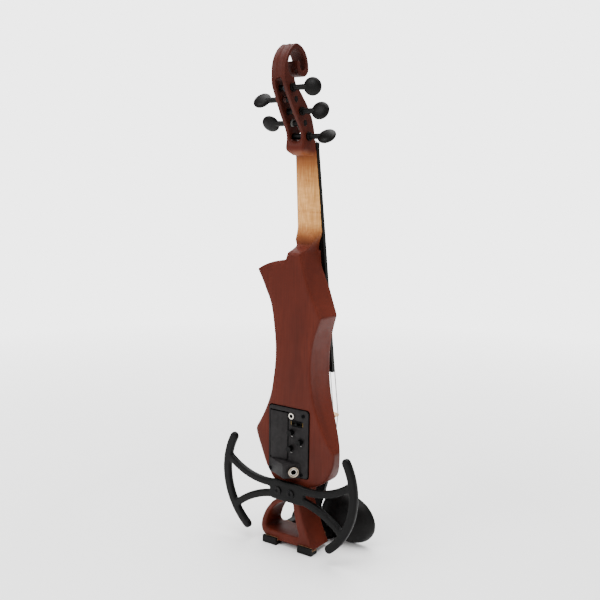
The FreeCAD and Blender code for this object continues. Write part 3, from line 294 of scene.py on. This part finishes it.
def cork():
    """Pressed cork sheet."""
    finish = Finish("cork_sheet", 0.85, specular=0.25)
    cells = finish.add("ShaderNodeTexVoronoi")
    cells.inputs["Scale"].default_value = 900.0
    finish.link(finish.place, cells.inputs["Vector"])
    crumbs = finish.noise(500.0, detail=4.0)
    bark, middle, pale = (0.07, 0.034, 0.015), (0.18, 0.100, 0.048), (0.27, 0.170, 0.090)
    finish.colour(finish.ramp(crumbs, [(0.3, bark), (0.5, middle), (0.75, pale)]))
    finish.bump(cells.outputs["Distance"], 0.0002, 0.5)
    return finish.material


def circuit_laminate():
    """Green laminate with lighter tracks."""
    finish = Finish("circuit_laminate", 0.4, coat=0.4)
    tracks = finish.add("ShaderNodeTexBrick")
    tracks.inputs["Scale"].default_value = 220.0
    tracks.inputs["Color1"].default_value = (0.010, 0.085, 0.035, 1)
    tracks.inputs["Color2"].default_value = (0.014, 0.105, 0.045, 1)
    tracks.inputs["Mortar"].default_value = (0.030, 0.160, 0.075, 1)
    finish.link(finish.place, tracks.inputs["Vector"])
    finish.colour(tracks.outputs["Color"])
    finish.bump(tracks.outputs["Fac"], 0.00005, 0.4)
    return finish.material


def battery_can():
    """Plain can: dark jacket with a coppery upper band."""
    finish = Finish("battery_can", 0.35, metallic=0.4)
    low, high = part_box("battery")
    band = finish.span(finish.axis("Z"), high[2] - 0.014, high[2] - 0.0135)
    scuffs = finish.noise(300.0, detail=4.0)
    dark = finish.ramp(scuffs, [(0.3, (0.02, 0.02, 0.022)), (0.8, (0.06, 0.06, 0.065))])
    finish.colour(finish.blend(band, dark, (0.45, 0.24, 0.09)))
    finish.roughness(scuffs, 0.3, 0.45)
    return finish.material


def enamel():
    """Pale paint of the control marks."""
    finish = Finish("mark_enamel", 0.5)
    patches = finish.noise(2500.0, detail=2.0)
    finish.colour(finish.ramp(patches, [(0.3, (0.22, 0.21, 0.20)), (0.6, (0.38, 0.37, 0.35))]))
    finish.bump(patches, 0.00002, 0.3)
    return finish.material


# Each plastic: its material's name, two tones, roughness, and the scale and depth of its texture.
PLASTICS = {
    "rest": ("rest_plastic", (0.0016, 0.0014, 0.0013), (0.0036, 0.0032, 0.0031), 0.46, 1100.0, 0.00012),
    "frame": ("frame_plastic", (0.0012, 0.0012, 0.0012), (0.0026, 0.0025, 0.0025), 0.47, 2200.0, 0.00005),
    "panel": ("panel_plastic", (0.0092, 0.0082, 0.0084), (0.0150, 0.0136, 0.0138), 0.55, 1500.0, 0.00006),
    "knob": ("knob_plastic", (0.0007, 0.0007, 0.0007), (0.0016, 0.0016, 0.0016), 0.42, 2200.0, 0.00005),
    "rubber": ("soft_jacket", (0.004, 0.004, 0.004), (0.008, 0.008, 0.008), 0.6, 2200.0, 0.00005),
    # "dark": near-black with almost no shine, no real part: painted shade for the gaps and bores that it is put
    # in.
    "dark": ("dark_lining", (0.0004, 0.0004, 0.0004), (0.0008, 0.0008, 0.0008), 0.8, 2200.0, 0.00005),
    "bezel": ("black_bezel", (0.0004, 0.0004, 0.0006), (0.0009, 0.0009, 0.0012), 0.5, 2200.0, 0.00005),
}
# Specular level of a plastic, where it isn't the usual one.
PLASTIC_SHINE = 0.10
# The "dark" entry has almost no specular level so that its pieces read as painted shade.
DULL = {"dark": 0.012, "bezel": 0.045}
# Each metal: its material's name, two tones and roughness.
METALS = {
    "bush": ("worn_nickel_bush", (0.10, 0.075, 0.055), (0.34, 0.29, 0.23), 0.24),
    "black_metal": ("blackened_steel", (0.008, 0.008, 0.0085), (0.016, 0.0155, 0.0155), 0.42),
    "steel": ("bright_steel", (0.26, 0.255, 0.25), (0.36, 0.355, 0.35), 0.24),
    "nickel": ("nickel_plate", (0.36, 0.33, 0.29), (0.52, 0.49, 0.45), 0.2),
    "gilt": ("gilt_metal", (0.055, 0.036, 0.013), (0.12, 0.082, 0.034), 0.4),
}


def all_finishes():
    finishes = {
        "neck_wood": neck_wood(),
        "board": black_wood("black_board", 0.38),
        "peg": black_wood("peg_wood", 0.42),
        "maple": bare_maple(),
        "string": wound_string(),
        "cork": cork(),
        "laminate": circuit_laminate(),
        "battery": battery_can(),
        "enamel": enamel(),
    }
    for name, values in PLASTICS.items():
        finishes[name] = moulded(*values, DULL.get(name, PLASTIC_SHINE))
    for name, values in METALS.items():
        finishes[name] = metal(*values)
    return finishes


# ------------------------------------------------------------------ meshes

WELD = 2e-6


def object_of(name, mesh):
    piece = bpy.data.objects.new(name, mesh)
    bpy.context.scene.collection.objects.link(piece)
    return piece


def object_from(work, name):
    """An object from a BMesh, which is used up."""
    mesh = bpy.data.meshes.new(name)
    work.to_mesh(mesh)
    work.free()
    return object_of(name, mesh)


def copy_of(node, name):
    """A separate object with a welded copy of a CAD node's mesh, standing for that node."""
    mesh = frame["nodes"][node].data.copy()
    mesh.name = name
    mesh.materials.clear()
    piece = object_of(name, mesh)
    work = bmesh.new()
    work.from_mesh(mesh)
    bmesh.ops.remove_doubles(work, verts=work.verts, dist=WELD)
    work.to_mesh(mesh)
    work.free()
    return piece


def settle(piece):
    """Replace a piece's mesh by the result of its modifiers."""
    graph = bpy.context.evaluated_depsgraph_get()
    mesh = bpy.data.meshes.new_from_object(piece.evaluated_get(graph))
    piece.modifiers.clear()
    piece.data = mesh


def points_of(mesh):
    flat = np.empty(len(mesh.vertices) * 3)
    mesh.vertices.foreach_get("co", flat)
    return flat.reshape(-1, 3)


def normals_of(mesh):
    flat = np.empty(len(mesh.vertices) * 3)
    mesh.vertex_normals.foreach_get("vector", flat)
    return flat.reshape(-1, 3)


def put_points(mesh, points):
    mesh.vertices.foreach_set("co", points.ravel())
    mesh.update()


def relax(mesh, passes):
    """Average each vertex with its neighbours; `passes` says how many times for each vertex."""
    points = points_of(mesh)
    count = len(points)
    ends = np.empty(len(mesh.edges) * 2, dtype=np.int64)
    mesh.edges.foreach_get("vertices", ends)
    first, second = ends.reshape(-1, 2).T
    degree = np.bincount(ends, minlength=count)[:, None]
    for step in range(int(math.ceil(passes.max()))):
        around = np.stack(
            [
                np.bincount(first, points[second, k], count) + np.bincount(second, points[first, k], count)
                for k in range(3)
            ],
            axis=1,
        )
        share = 0.5 * np.clip(passes - step, 0, 1)[:, None]
        points += share * (around / degree - points)
    put_points(mesh, points)


def ease(value, low, high):
    """Smooth step from 0 at low to 1 at high."""
    share = np.clip((value - low) / (high - low), 0, 1)
    return share * share * (3 - 2 * share)


def remeshed(piece, voxel, passes_at, sculpt=None):
    """Even, round-edged skin in place of a closed mesh."""
    remesh = piece.modifiers.new("skin", "REMESH")
    remesh.mode = "VOXEL"
    remesh.voxel_size = voxel
    settle(piece)
    relax(piece.data, passes_at(points_of(piece.data)))
    if sculpt:
        sculpt(piece.data)
    for polygon in piece.data.polygons:
        polygon.use_smooth = True


def skin(node, voxel, passes_at):
    piece = copy_of(node, node + "_skin")
    remeshed(piece, voxel, passes_at)
    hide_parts(node)
    return piece


def cut_off(mesh, height, keep_lower):
    """Keep a closed mesh below or above a height, and close the cut."""
    work = bmesh.new()
    work.from_mesh(mesh)
    everything = work.verts[:] + work.edges[:] + work.faces[:]
    bmesh.ops.bisect_plane(
        work,
        geom=everything,
        plane_co=(0, 0, height),
        plane_no=(0, 0, 1),
        clear_outer=keep_lower,
        clear_inner=not keep_lower,
    )
    bmesh.ops.holes_fill(work, edges=[edge for edge in work.edges if edge.is_boundary], sides=0)
    work.to_mesh(mesh)
    work.free()


def put_together(pieces, name):
    """One object out of several."""
    work = bmesh.new()
    for piece in pieces:
        work.from_mesh(piece.data)
        bpy.data.objects.remove(piece)
    return object_from(work, name)


def softened(node, width):
    """A CAD node with its sharp edges broken by a small round."""
    piece = copy_of(node, node + "_soft")
    work = bmesh.new()
    work.from_mesh(piece.data)
    bmesh.ops.dissolve_limit(
        work, angle_limit=math.radians(1.0), verts=work.verts, edges=work.edges, delimit={"SEAM"}
    )
    folded = [edge for edge in work.edges if len(edge.link_faces) == 2]
    sharp = [edge for edge in folded if edge.calc_face_angle() > math.radians(35.0)]
    bmesh.ops.bevel(
        work,
        geom=sharp,
        offset=width,
        offset_type="OFFSET",
        segments=2,
        profile=0.5,
        affect="EDGES",
        clamp_overlap=True,
    )
    bmesh.ops.triangulate(work, faces=work.faces)
    work.to_mesh(piece.data)
    work.free()
    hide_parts(node)
    smooth_by_angle(piece, 40.0)
    return piece


def smooth_by_angle(piece, degrees):
    piece.data.set_sharp_from_angle(angle=math.radians(degrees))
    for polygon in piece.data.polygons:
        polygon.use_smooth = True


def circle(centre, side, other, radius, steps):
    """Points round a centre, in the plane of two unit vectors."""
    angles = [2 * math.pi * step / steps for step in range(steps)]
    return [centre + radius * (side * math.cos(angle) + other * math.sin(angle)) for angle in angles]


def tube(name, path, radius, sides=10):
    """Round tube along a path of points."""
    work = bmesh.new()
    path = [Vector(point) for point in path]
    rings = []
    side = (path[1] - path[0]).orthogonal().normalized()
    for number, point in enumerate(path):
        ahead = path[min(number + 1, len(path) - 1)] - path[max(number - 1, 0)]
        ahead.normalize()
        side = (side - ahead * side.dot(ahead)).normalized()
        ring = circle(point, side, ahead.cross(side), radius, sides)
        rings.append([work.verts.new(corner) for corner in ring])
    for low, high in zip(rings, rings[1:]):
        for step in range(sides):
            after = (step + 1) % sides
            work.faces.new((low[step], low[after], high[after], high[step]))
    work.faces.new(list(reversed(rings[0])))
    work.faces.new(rings[-1])
    piece = object_from(work, name)
    smooth_by_angle(piece, 50.0)
    return piece


def finish_piece(piece, material, body):
    piece.data.materials.clear()
    piece.data.materials.append(material)
    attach(piece, body)


# ------------------------------------------------------------------ wooden parts


# Where the body's skin, which takes in the heel, ends and the neck's skin starts.
NECK_CUT = HEEL_Z + 46.0 * MM
SKIN_OVERLAP = 1.0 * MM


def body_passes(points):
    """Wide rounds on the back's treble edge and the heel, small ones on everything else."""
    across = (points[:, 0] - CENTRE_X) / MM
    behind = (points[:, 1] - BACK_Y) / MM
    up = (points[:, 2] - HEEL_Z) / MM
    wide = ease(across, 24, 31) * ease(behind, -22, -12) * ease(-up, 40, 60)
    shoulder = ease(across, 2, 8) * ease(behind, -24, -14) * ease(-up, -4, 4) * ease(up, -90, -70)
    return 6 + 60 * np.maximum(wide, 0.35 * shoulder)


def pull_in_heel(mesh):
    """The heel falls back to the grip's depth and width within a short height."""
    points = points_of(mesh)
    up = (points[:, 2] - HEEL_Z) / MM
    grip = points[(up > 36) & (up < 42)]
    grip_back = grip[:, 1].max()
    grip_half = np.abs(grip[:, 0] - CENTRE_X).max()
    left = (1 - ease(up, -1.0, 6.5)) ** 1.3
    deepest = grip_back + (BACK_Y - grip_back) * left
    widest = grip_half + 7.0 * MM * left
    share = ease(up, -2.0, -0.5) * ease(-up, -40, -34)
    across = points[:, 0] - CENTRE_X
    behind = ease((points[:, 1] - BACK_Y) / MM, -36, -30)
    points[:, 1] += share * (np.minimum(points[:, 1], deepest) - points[:, 1])
    points[:, 0] += share * behind * (np.clip(across, -widest, widest) - across)
    put_points(mesh, points)
    relax(mesh, 22 * ease(up, -9, -4) * ease(-up, -34, -26) * behind)


def neck_passes(points):
    """Small rounds everywhere, a fuller one on the chin under the pegbox."""
    above_nut = (points[:, 2] - NUT_Z) / MM
    chin = ease(above_nut, -6, -2) * ease(-above_nut, -20, -8) * ease(points[:, 1] / MM, -6, 6)
    return 6 + 6 * ease(above_nut, 2, 10) + 48 * chin


def shape_pegbox(mesh):
    """Draw the chin in to a rounded foot, then carve the flutes."""
    points = points_of(mesh)
    behind = ease(points[:, 1], BACK_Y - 19 * MM, BACK_Y - 6 * MM)
    foot = points[(points[:, 2] > NUT_Z - 20 * MM) & (points[:, 1] > BACK_Y - 10 * MM)][:, 2].min()
    above = (points[:, 2] - foot) / MM
    low = np.clip(1 - above / 8.0, 0, 1) ** 2 * (above > -0.5) * behind
    points[:, 0] -= 0.42 * low * (points[:, 0] - CENTRE_X)
    points[:, 1] -= 3.0 * MM * low
    put_points(mesh, points)
    relax(mesh, 12 * ease(above, -4, -1) * ease(-above, -20, -10) * behind)
    carve_flutes(mesh)


# Height of the strips in which the pegbox's width is measured, and how many there are.
STRIP = 3.0 * MM
STRIPS = 61


def carve_flutes(mesh):
    """Two shallow channels that run up the back of the pegbox and round the scroll."""
    points = points_of(mesh)
    normals = normals_of(mesh)
    eye = np.array([BACK_Y + 4.5 * MM, SCROLL_TOP - 26.0 * MM])
    away = points[:, 1:] - eye
    reach = np.linalg.norm(away, axis=1)
    out = np.tile([1.0, 0.0], (len(points), 1))
    above = points[:, 2] > eye[1]
    out[above] = away[above] / np.maximum(reach[above], 1e-6)[:, None]
    facing = np.sum(normals[:, 1:] * out, axis=1)
    start = NUT_Z + 22.0 * MM
    region = ease(points[:, 2], start, start + 14.0 * MM) * ease(facing, 0.55, 0.85)
    outside = ease(reach, 15.0 * MM, 17.0 * MM)
    region *= np.where(above, outside, ease(points[:, 1], eye[0] - 4 * MM, eye[0]))
    across = np.abs(points[:, 0] - CENTRE_X)
    along = np.where(above, eye[1] + np.arctan2(away[:, 1], away[:, 0]) * 18.0 * MM, points[:, 2])
    strip = np.floor((along - start) / STRIP).astype(int).clip(0, STRIPS - 1)
    half = np.full(STRIPS, 9.0 * MM)
    for number in range(STRIPS):
        here = across[(strip == number) & (region > 0.4)]
        if len(here) > 10:
            half[number] = np.percentile(here, 97)
    share = np.clip(across / half[strip], 0, 1)
    depth = 0.55 * MM * np.sin(math.pi * share ** 0.9) ** 1.4
    points -= normals * (depth * region)[:, None]
    put_points(mesh, points)


def make_wood(finishes):
    heel = copy_of("neck_and_scroll", "heel")
    cut_off(heel.data, NECK_CUT, True)
    body = put_together([copy_of("body", "body_blank"), heel], "body_and_heel")
    remeshed(body, 0.95 * MM, body_passes, pull_in_heel)
    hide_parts("body")
    finish_piece(body, finishes["neck_wood"], "instrument")
    neck = copy_of("neck_and_scroll", "neck_and_scroll_skin")
    cut_off(neck.data, NECK_CUT - SKIN_OVERLAP, False)
    remeshed(neck, 0.65 * MM, neck_passes, shape_pegbox)
    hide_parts("neck_and_scroll")
    finish_piece(neck, finishes["neck_wood"], "instrument")


def make_moulded_parts(finishes):
    chin = skin("chin_rest", 0.7 * MM, lambda points: np.full(len(points), 9.0))
    finish_piece(chin, finishes["rest"], "instrument")
    rest = skin("shoulder_rest_frame", 0.7 * MM, lambda points: np.full(len(points), 22.0))
    finish_piece(rest, finishes["frame"], "instrument")
    panel = softened("electronics_panel", 0.35 * MM)
    finish_piece(panel, finishes["panel"], "instrument")
    lid = softened("battery_lid", 0.3 * MM)
    finish_piece(lid, finishes["panel"], "battery_lid")


# ------------------------------------------------------------------ small pieces


# Four loops of a ring, each joined to the next all the way round.
RING_JOINS = ((0, 1), (1, 2), (2, 3), (3, 0))
# Turns of string left on each peg, and the thread colours at each string's ends.
STRINGS = {
    "c": (2.4, (0.060, 0.030, 0.050), (0.020, 0.010, 0.016)),
    "g": (3.5, (0.340, 0.130, 0.040), (0.160, 0.050, 0.012)),
    "d": (3.6, (0.045, 0.055, 0.070), (0.014, 0.018, 0.026)),
    "a": (3.6, (0.110, 0.030, 0.022), (0.040, 0.010, 0.008)),
    "e": (4.2, (0.260, 0.250, 0.230), (0.120, 0.115, 0.105)),
}


def ring_centre(points, z, reach=0.6 * MM):
    """Middle of the string's vertices near a height."""
    near = points[np.abs(points[:, 2] - z) < reach]
    return Vector((near.max(axis=0) + near.min(axis=0)) / 2)


def lapping_on(name, start, end, radius, material):
    """Thread lapping on a straight stretch of a string."""
    path = [start.lerp(end, part / 12) for part in range(13)]
    sleeve = tube(name, path, radius + 0.07 * MM)
    finish_piece(sleeve, material, "instrument")


def windings(name, wound, over_nut, radius, turns, material):
    """Turns of string on its peg: one ring where the string arrives, then a coil towards the head."""
    joint = next(joint for joint in frame["joints"] if joint["name"] == name + "_peg_turn")
    centre = Vector(joint["pos_m"])
    arm = Vector((0, wound.y - centre.y, wound.z - centre.z))
    start_angle = math.atan2(arm.z, arm.y)
    run = wound - over_nut
    sense = math.copysign(1.0, arm.y * run.z - arm.z * run.y)
    low, high = map(Vector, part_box(name + "_peg"))
    head_side = math.copysign(1.0, (low.x + high.x) / 2 - CENTRE_X)
    clear_turn = 1.2 + 0.16 * MM / radius
    for part, first, last in (("ring", 0.0, 1.0), ("coil", clear_turn, turns)):
        steps = int(36 * (last - first) + 0.5)
        path = []
        for step in range(steps + 1):
            turn = first + (last - first) * step / steps
            angle = start_angle + sense * 2 * math.pi * turn
            sunk = 0.0
            x = wound.x
            if part == "coil":
                sunk = 1.1 * radius * float(ease(np.array(turn), turns - 0.18, turns))
                x += head_side * turn * 2.1 * radius
            reach = arm.length - sunk
            path.append((x, centre.y + reach * math.cos(angle), centre.z + reach * math.sin(angle)))
        wrap = tube(f"{name}_peg_{part}", path, radius, 8)
        finish_piece(wrap, material, name + "_peg")


def make_string_ends(name):
    """Thread lappings at both ends of a string and its turns round the peg."""
    turns, colour, dark = STRINGS[name]
    points = points_of(frame["nodes"][name + "_string"].data)
    top = points[:, 2].max()
    wound = ring_centre(points, top)
    radius = float(np.ptp(points[points[:, 2] > top - 0.6 * MM][:, 0])) / 2
    over_nut = ring_centre(points, NUT_Z + 5.2 * MM)
    over_bridge = ring_centre(points, bridge_height())
    low = ring_centre(points, points[:, 2].min() + 1.4 * MM, 0.3 * MM)
    lapping = silk(name, colour, dark)

    near_nut = over_nut.lerp(wound, 6.0 * MM / (over_nut - wound).length)
    lapping_on(name + "_peg_lapping", near_nut, wound, radius, lapping)
    length = (over_bridge - low).length
    start = low.lerp(over_bridge, 4.0 * MM / length)
    end = low.lerp(over_bridge, 24.0 * MM / length)
    lapping_on(name + "_tail_lapping", start, end, radius, lapping)
    windings(name, wound, over_nut, radius, turns, lapping)


def bridge_height():
    low, high = map(Vector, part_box("bridge"))
    return (low.z + high.z) / 2


def plaque(name, centre, along, length, width, thick):
    """Thin rounded bar lying on the control panel."""
    work = bmesh.new()
    along = Vector(along).normalized()
    across = Vector((along.z, 0, -along.x))
    outline = []
    for end, start_angle in ((1, -90), (-1, 90)):
        middle = Vector(centre) + along * end * (length - width) / 2
        for step in range(9):
            angle = math.radians(start_angle + 180 * step / 8)
            outline.append(middle + (along * math.cos(angle) + across * math.sin(angle)) * width / 2)
    low = [work.verts.new(point) for point in outline]
    high = [work.verts.new(point + Vector((0, thick, 0))) for point in outline]
    work.faces.new(list(reversed(low)))
    work.faces.new(high)
    for number in range(len(low)):
        after = (number + 1) % len(low)
        work.faces.new((low[number], low[after], high[after], high[number]))
    bmesh.ops.recalc_face_normals(work, faces=work.faces)
    return object_from(work, name)


def make_control_marks(finishes):
    """One short pale stroke beside each knob."""
    for knob in ("volume", "bass", "treble"):
        low, high = map(Vector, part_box(knob + "_knob"))
        centre = (low + high) / 2
        spot = Vector((centre.x - 0.3 * MM, PANEL_FACE - 0.02 * MM, centre.z - 5.4 * MM))
        mark = plaque(knob + "_mark", spot, (1.0, 0.0, 0.25), 2.2 * MM, 0.58 * MM, 0.06 * MM)
        finish_piece(mark, finishes["enamel"], "instrument")


def closed_piece(name, loops, joins, ends):
    """A mesh from loops of points: `joins` are pairs of loops with faces between, `ends` closed loops."""
    work = bmesh.new()
    made = [[work.verts.new(point) for point in loop] for loop in loops]
    for first, second in joins:
        count = len(made[first])
        for number in range(count):
            after = (number + 1) % count
            near, far = made[first], made[second]
            work.faces.new((near[number], near[after], far[after], far[number]))
    for number in ends:
        work.faces.new(made[number])
    bmesh.ops.recalc_face_normals(work, faces=work.faces)
    piece = object_from(work, name)
    smooth_by_angle(piece, 40.0)
    return piece


def bore_ring(name, mouth, outward, outer, inner, top, depth):
    """Ring inside a bore: radii, and heights along `outward` from the mouth, in millimetres."""
    outward = Vector(outward).normalized()
    side = outward.cross(Vector((0, 0, 1))).normalized()
    other = outward.cross(side)
    loops = []
    for radius, height in ((outer, top), (inner, top), (inner, depth), (outer, depth)):
        loops.append(circle(Vector(mouth) + outward * height * MM, side, other, radius * MM, 40))
    return closed_piece(name, loops, RING_JOINS, ())


def panel_outline(grow, y):
    """Outline of the panel's face, made larger all round by `grow`, at the height y."""
    points = points_of(frame["nodes"]["electronics_panel"].data)
    face = [point for point in points if abs(point[1] - PANEL_FACE) < 0.6 * MM]
    flat = [(point[0], point[2]) for point in face]
    hull = [flat[number] for number in convex_hull_2d(flat)]
    low = [min(point[axis] for point in hull) for axis in (0, 1)]
    high = [max(point[axis] for point in hull) for axis in (0, 1)]
    middle = [(low[axis] + high[axis]) / 2 for axis in (0, 1)]
    scale = [1 + 2 * grow / (high[axis] - low[axis]) for axis in (0, 1)]
    outline = []
    for x, z in hull:
        moved = (x - middle[0]) * scale[0], (z - middle[1]) * scale[1]
        outline.append((middle[0] + moved[0], y, middle[1] + moved[1]))
    return outline


def make_panel_edge_shade(material):
    """Black sheet round the foot of the panel, standing out past its edge: painted shade for the gap at the
    panel's edge.
    """
    loops = []
    top = BACK_Y + 0.4 * MM
    for grow, y in ((1.1, BACK_Y), (1.1, top), (-0.4, top), (-0.4, BACK_Y)):
        loops.append(panel_outline(grow * MM, y))
    edge_shade_sheet = closed_piece("panel_edge_shade", loops, RING_JOINS, ())
    finish_piece(edge_shade_sheet, material, "instrument")


def make_lid_gap_shade(material):
    """Black strip along the lid's inner side and its top: painted shade for the gap round the lid."""
    low, high = map(Vector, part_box("battery_lid"))
    gap, wide = 0.1 * MM, 1.6 * MM
    left, right = low.x + 1.4 * MM, high.x - 1.2 * MM
    bottom, top = low.z + 3.4 * MM, high.z
    outline = [
        (left - wide, bottom),
        (left - gap, bottom),
        (left - gap, top + gap),
        (right, top + gap),
        (right, top + wide),
        (left - wide, top + wide),
    ]
    back_loop = [(x, PANEL_FACE - 0.25 * MM, z) for x, z in outline]
    face_loop = [(x, PANEL_FACE + 0.07 * MM, z) for x, z in outline]
    shade_strip = closed_piece("lid_gap_shade", (back_loop, face_loop), ((0, 1),), (0, 1))
    finish_piece(shade_strip, material, "instrument")


def make_socket_shades(material):
    """Dark rings in both sockets and round the output jack's bush: painted shade in the bores and painted shade
    for a groove.
    """
    mounts = {mount["name"]: mount for mount in frame["record"]["mounts"]}
    phone = Vector(mounts["headphone_socket"]["pos_m"])
    phone.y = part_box("headphone_jack")[1].y
    outward = Vector(mounts["output_jack_socket"]["axis"])
    low, high = map(Vector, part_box("output_jack_nut"))
    end_face = (low + high) / 2 + outward * 1.6 * MM
    mouth = (low + high) / 2 + outward * 1.2 * MM
    for name, place, axis, outer, inner, top, depth in (
        ("headphone_socket_shade", phone, (0, 1, 0), 2.28, 1.72, -0.35, -6.0),
        ("output_nut_groove_shade", end_face, outward, 4.5, 4.05, 0.05, -0.3),
        ("output_socket_shade", mouth, outward, 3.19, 2.9, -0.5, -12.0),
    ):
        ring = bore_ring(name, place, axis, outer, inner, top, depth)
        finish_piece(ring, material, "instrument")


# ------------------------------------------------------------------ carried-over CAD nodes

NODE_FINISHES = {
    "fingerboard": "board",
    "nut": "board",
    "e_string": "steel",
    "bridge": "maple",
    "bridge_pickup": "gilt",
    "pickup_cable": "rubber",
    "tailpiece": "rest",
    "tailgut": "rubber",
    "end_pin": "peg",
    "chin_rest_corks": "cork",
    "clamp_foot_corks": "cork",
    "chin_rest_clamp_feet": "rest",
    "chin_rest_rods": "black_metal",
    "clamp_barrel_bass": "nickel",
    "clamp_barrel_treble": "nickel",
    "frame_spacers": "frame",
    "frame_screws": "black_metal",
    "battery": "battery",
    "battery_clip": "rubber",
    "circuit_board": "laminate",
    "potentiometers": "steel",
    "volume_knob": "knob",
    "bass_knob": "knob",
    "treble_knob": "knob",
    "selector_switch": "gilt",
    "selector_bezel": "bezel",
    "selector_button": "knob",
    "headphone_jack": "nickel",
    "output_jack": "nickel",
    "output_jack_nut": "bush",
    "panel_screws": "bezel",
}
ENDINGS = {"_peg": "peg", "_string": "string", "_tuner_lever": "black_metal", "_tuner_screw": "black_metal"}


def paint_nodes(finishes):
    for name, node in frame["nodes"].items():
        if node.hide_render:
            continue
        finish = NODE_FINISHES.get(name)
        if finish is None:
            finish = next(value for ending, value in ENDINGS.items() if name.endswith(ending))
        node.data.materials.clear()
        node.data.materials.append(finishes[finish])


# ------------------------------------------------------------------ studio


# Brightness of the surround behind the instrument, and of the light that it gives.
BACKDROP = 4.0
SURROUND = 0.42


def make_floor():
    """Pale floor sheet that brightens into the surround away from the instrument."""
    work = bmesh.new()
    bmesh.ops.create_grid(work, x_segments=24, y_segments=24, size=6.0)
    floor = object_from(work, "floor")
    finish = Finish("floor_paper", 0.75, specular=0.2)
    patches = finish.noise(3.0, detail=2.0)
    finish.colour(finish.ramp(patches, [(0.3, (0.92, 0.92, 0.915)), (0.7, (0.94, 0.94, 0.935))]))
    distance = finish.add("ShaderNodeVectorMath")
    distance.operation = "LENGTH"
    finish.link(finish.place, distance.inputs[0])
    far = finish.span(distance.outputs["Value"], 0.35, 1.5)
    seen = finish.math("MULTIPLY", far, finish.add("ShaderNodeLightPath").outputs["Is Camera Ray"])
    glow = finish.add("ShaderNodeEmission")
    glow.inputs["Strength"].default_value = BACKDROP
    mix = finish.add("ShaderNodeMixShader")
    finish.link(seen, mix.inputs[0])
    finish.link(finish.shader.outputs[0], mix.inputs[1])
    finish.link(glow.outputs[0], mix.inputs[2])
    finish.link(mix.outputs[0], finish.tree.nodes["Material Output"].inputs["Surface"])
    floor.data.materials.append(finish.material)


def make_lights():
    """Bright surround behind the instrument, a soft overhead sheet for the floor and three soft lamps."""
    world = bpy.data.worlds.new("studio")
    bpy.context.scene.world = world
    world.use_nodes = True
    tree = world.node_tree
    background = tree.nodes["Background"]
    background.inputs["Color"].default_value = (1.0, 1.0, 1.0, 1.0)
    path = tree.nodes.new("ShaderNodeLightPath")
    level = tree.nodes.new("ShaderNodeMapRange")
    level.inputs["To Min"].default_value = SURROUND
    level.inputs["To Max"].default_value = BACKDROP
    tree.links.new(path.outputs["Is Camera Ray"], level.inputs["Value"])
    tree.links.new(level.outputs["Result"], background.inputs["Strength"])
    target = Vector((CENTRE_X, 0.0, 0.28))
    for name, place, size, power in (
        ("overhead", (0.0, 0.0, 2.4), 2.6, 150.0),
        ("key", (0.75, 1.5, 1.2), 0.9, 22.0),
        ("side", (-1.7, 0.3, 0.7), 1.5, 7.0),
        ("front", (0.8, -1.5, 1.3), 1.2, 16.0),
    ):
        light = bpy.data.lights.new(name, "AREA")
        light.shape = "DISK"
        light.size = size
        light.energy = power
        lamp = bpy.data.objects.new(name, light)
        lamp.location = place
        lamp.rotation_euler = (target - Vector(place)).to_track_quat("-Z", "Y").to_euler()
        bpy.context.scene.collection.objects.link(lamp)


def make_camera():
    """Behind the bass side, a little above the middle of the instrument."""
    shift = Vector((CENTRE_X, BACK_Y + 4.0 * MM, 0.0))
    place = Vector((-0.5592, 0.7770, 0.4569)) + shift
    yaw, pitch, roll = (math.radians(angle) for angle in (34.97, 8.96, 0.76))
    ahead = Vector((math.sin(yaw) * math.cos(pitch), -math.cos(yaw) * math.cos(pitch), -math.sin(pitch)))
    right = ahead.cross(Vector((0, 0, 1))).normalized()
    up = right.cross(ahead)
    turned_right = math.cos(roll) * right + math.sin(roll) * up
    turned_up = math.cos(roll) * up - math.sin(roll) * right
    data = bpy.data.cameras.new("camera")
    data.lens = 50.33
    data.sensor_width = 36.0
    camera = bpy.data.objects.new("camera", data)
    axes = Matrix((turned_right, turned_up, -ahead)).transposed()
    camera.matrix_world = Matrix.Translation(place) @ axes.to_4x4()
    bpy.context.scene.collection.objects.link(camera)
    bpy.context.scene.camera = camera


def main():
    finishes = all_finishes()
    make_wood(finishes)
    make_moulded_parts(finishes)
    for name in STRINGS:
        make_string_ends(name)
    make_control_marks(finishes)
    # Painted shade: black pieces at the panel's edge, in the gap round the lid and in the sockets.
    make_panel_edge_shade(finishes["dark"])
    make_lid_gap_shade(finishes["dark"])
    make_socket_shades(finishes["dark"])
    paint_nodes(finishes)
    make_floor()
    make_lights()
    make_camera()


main()
bpy.context.view_layer.update()
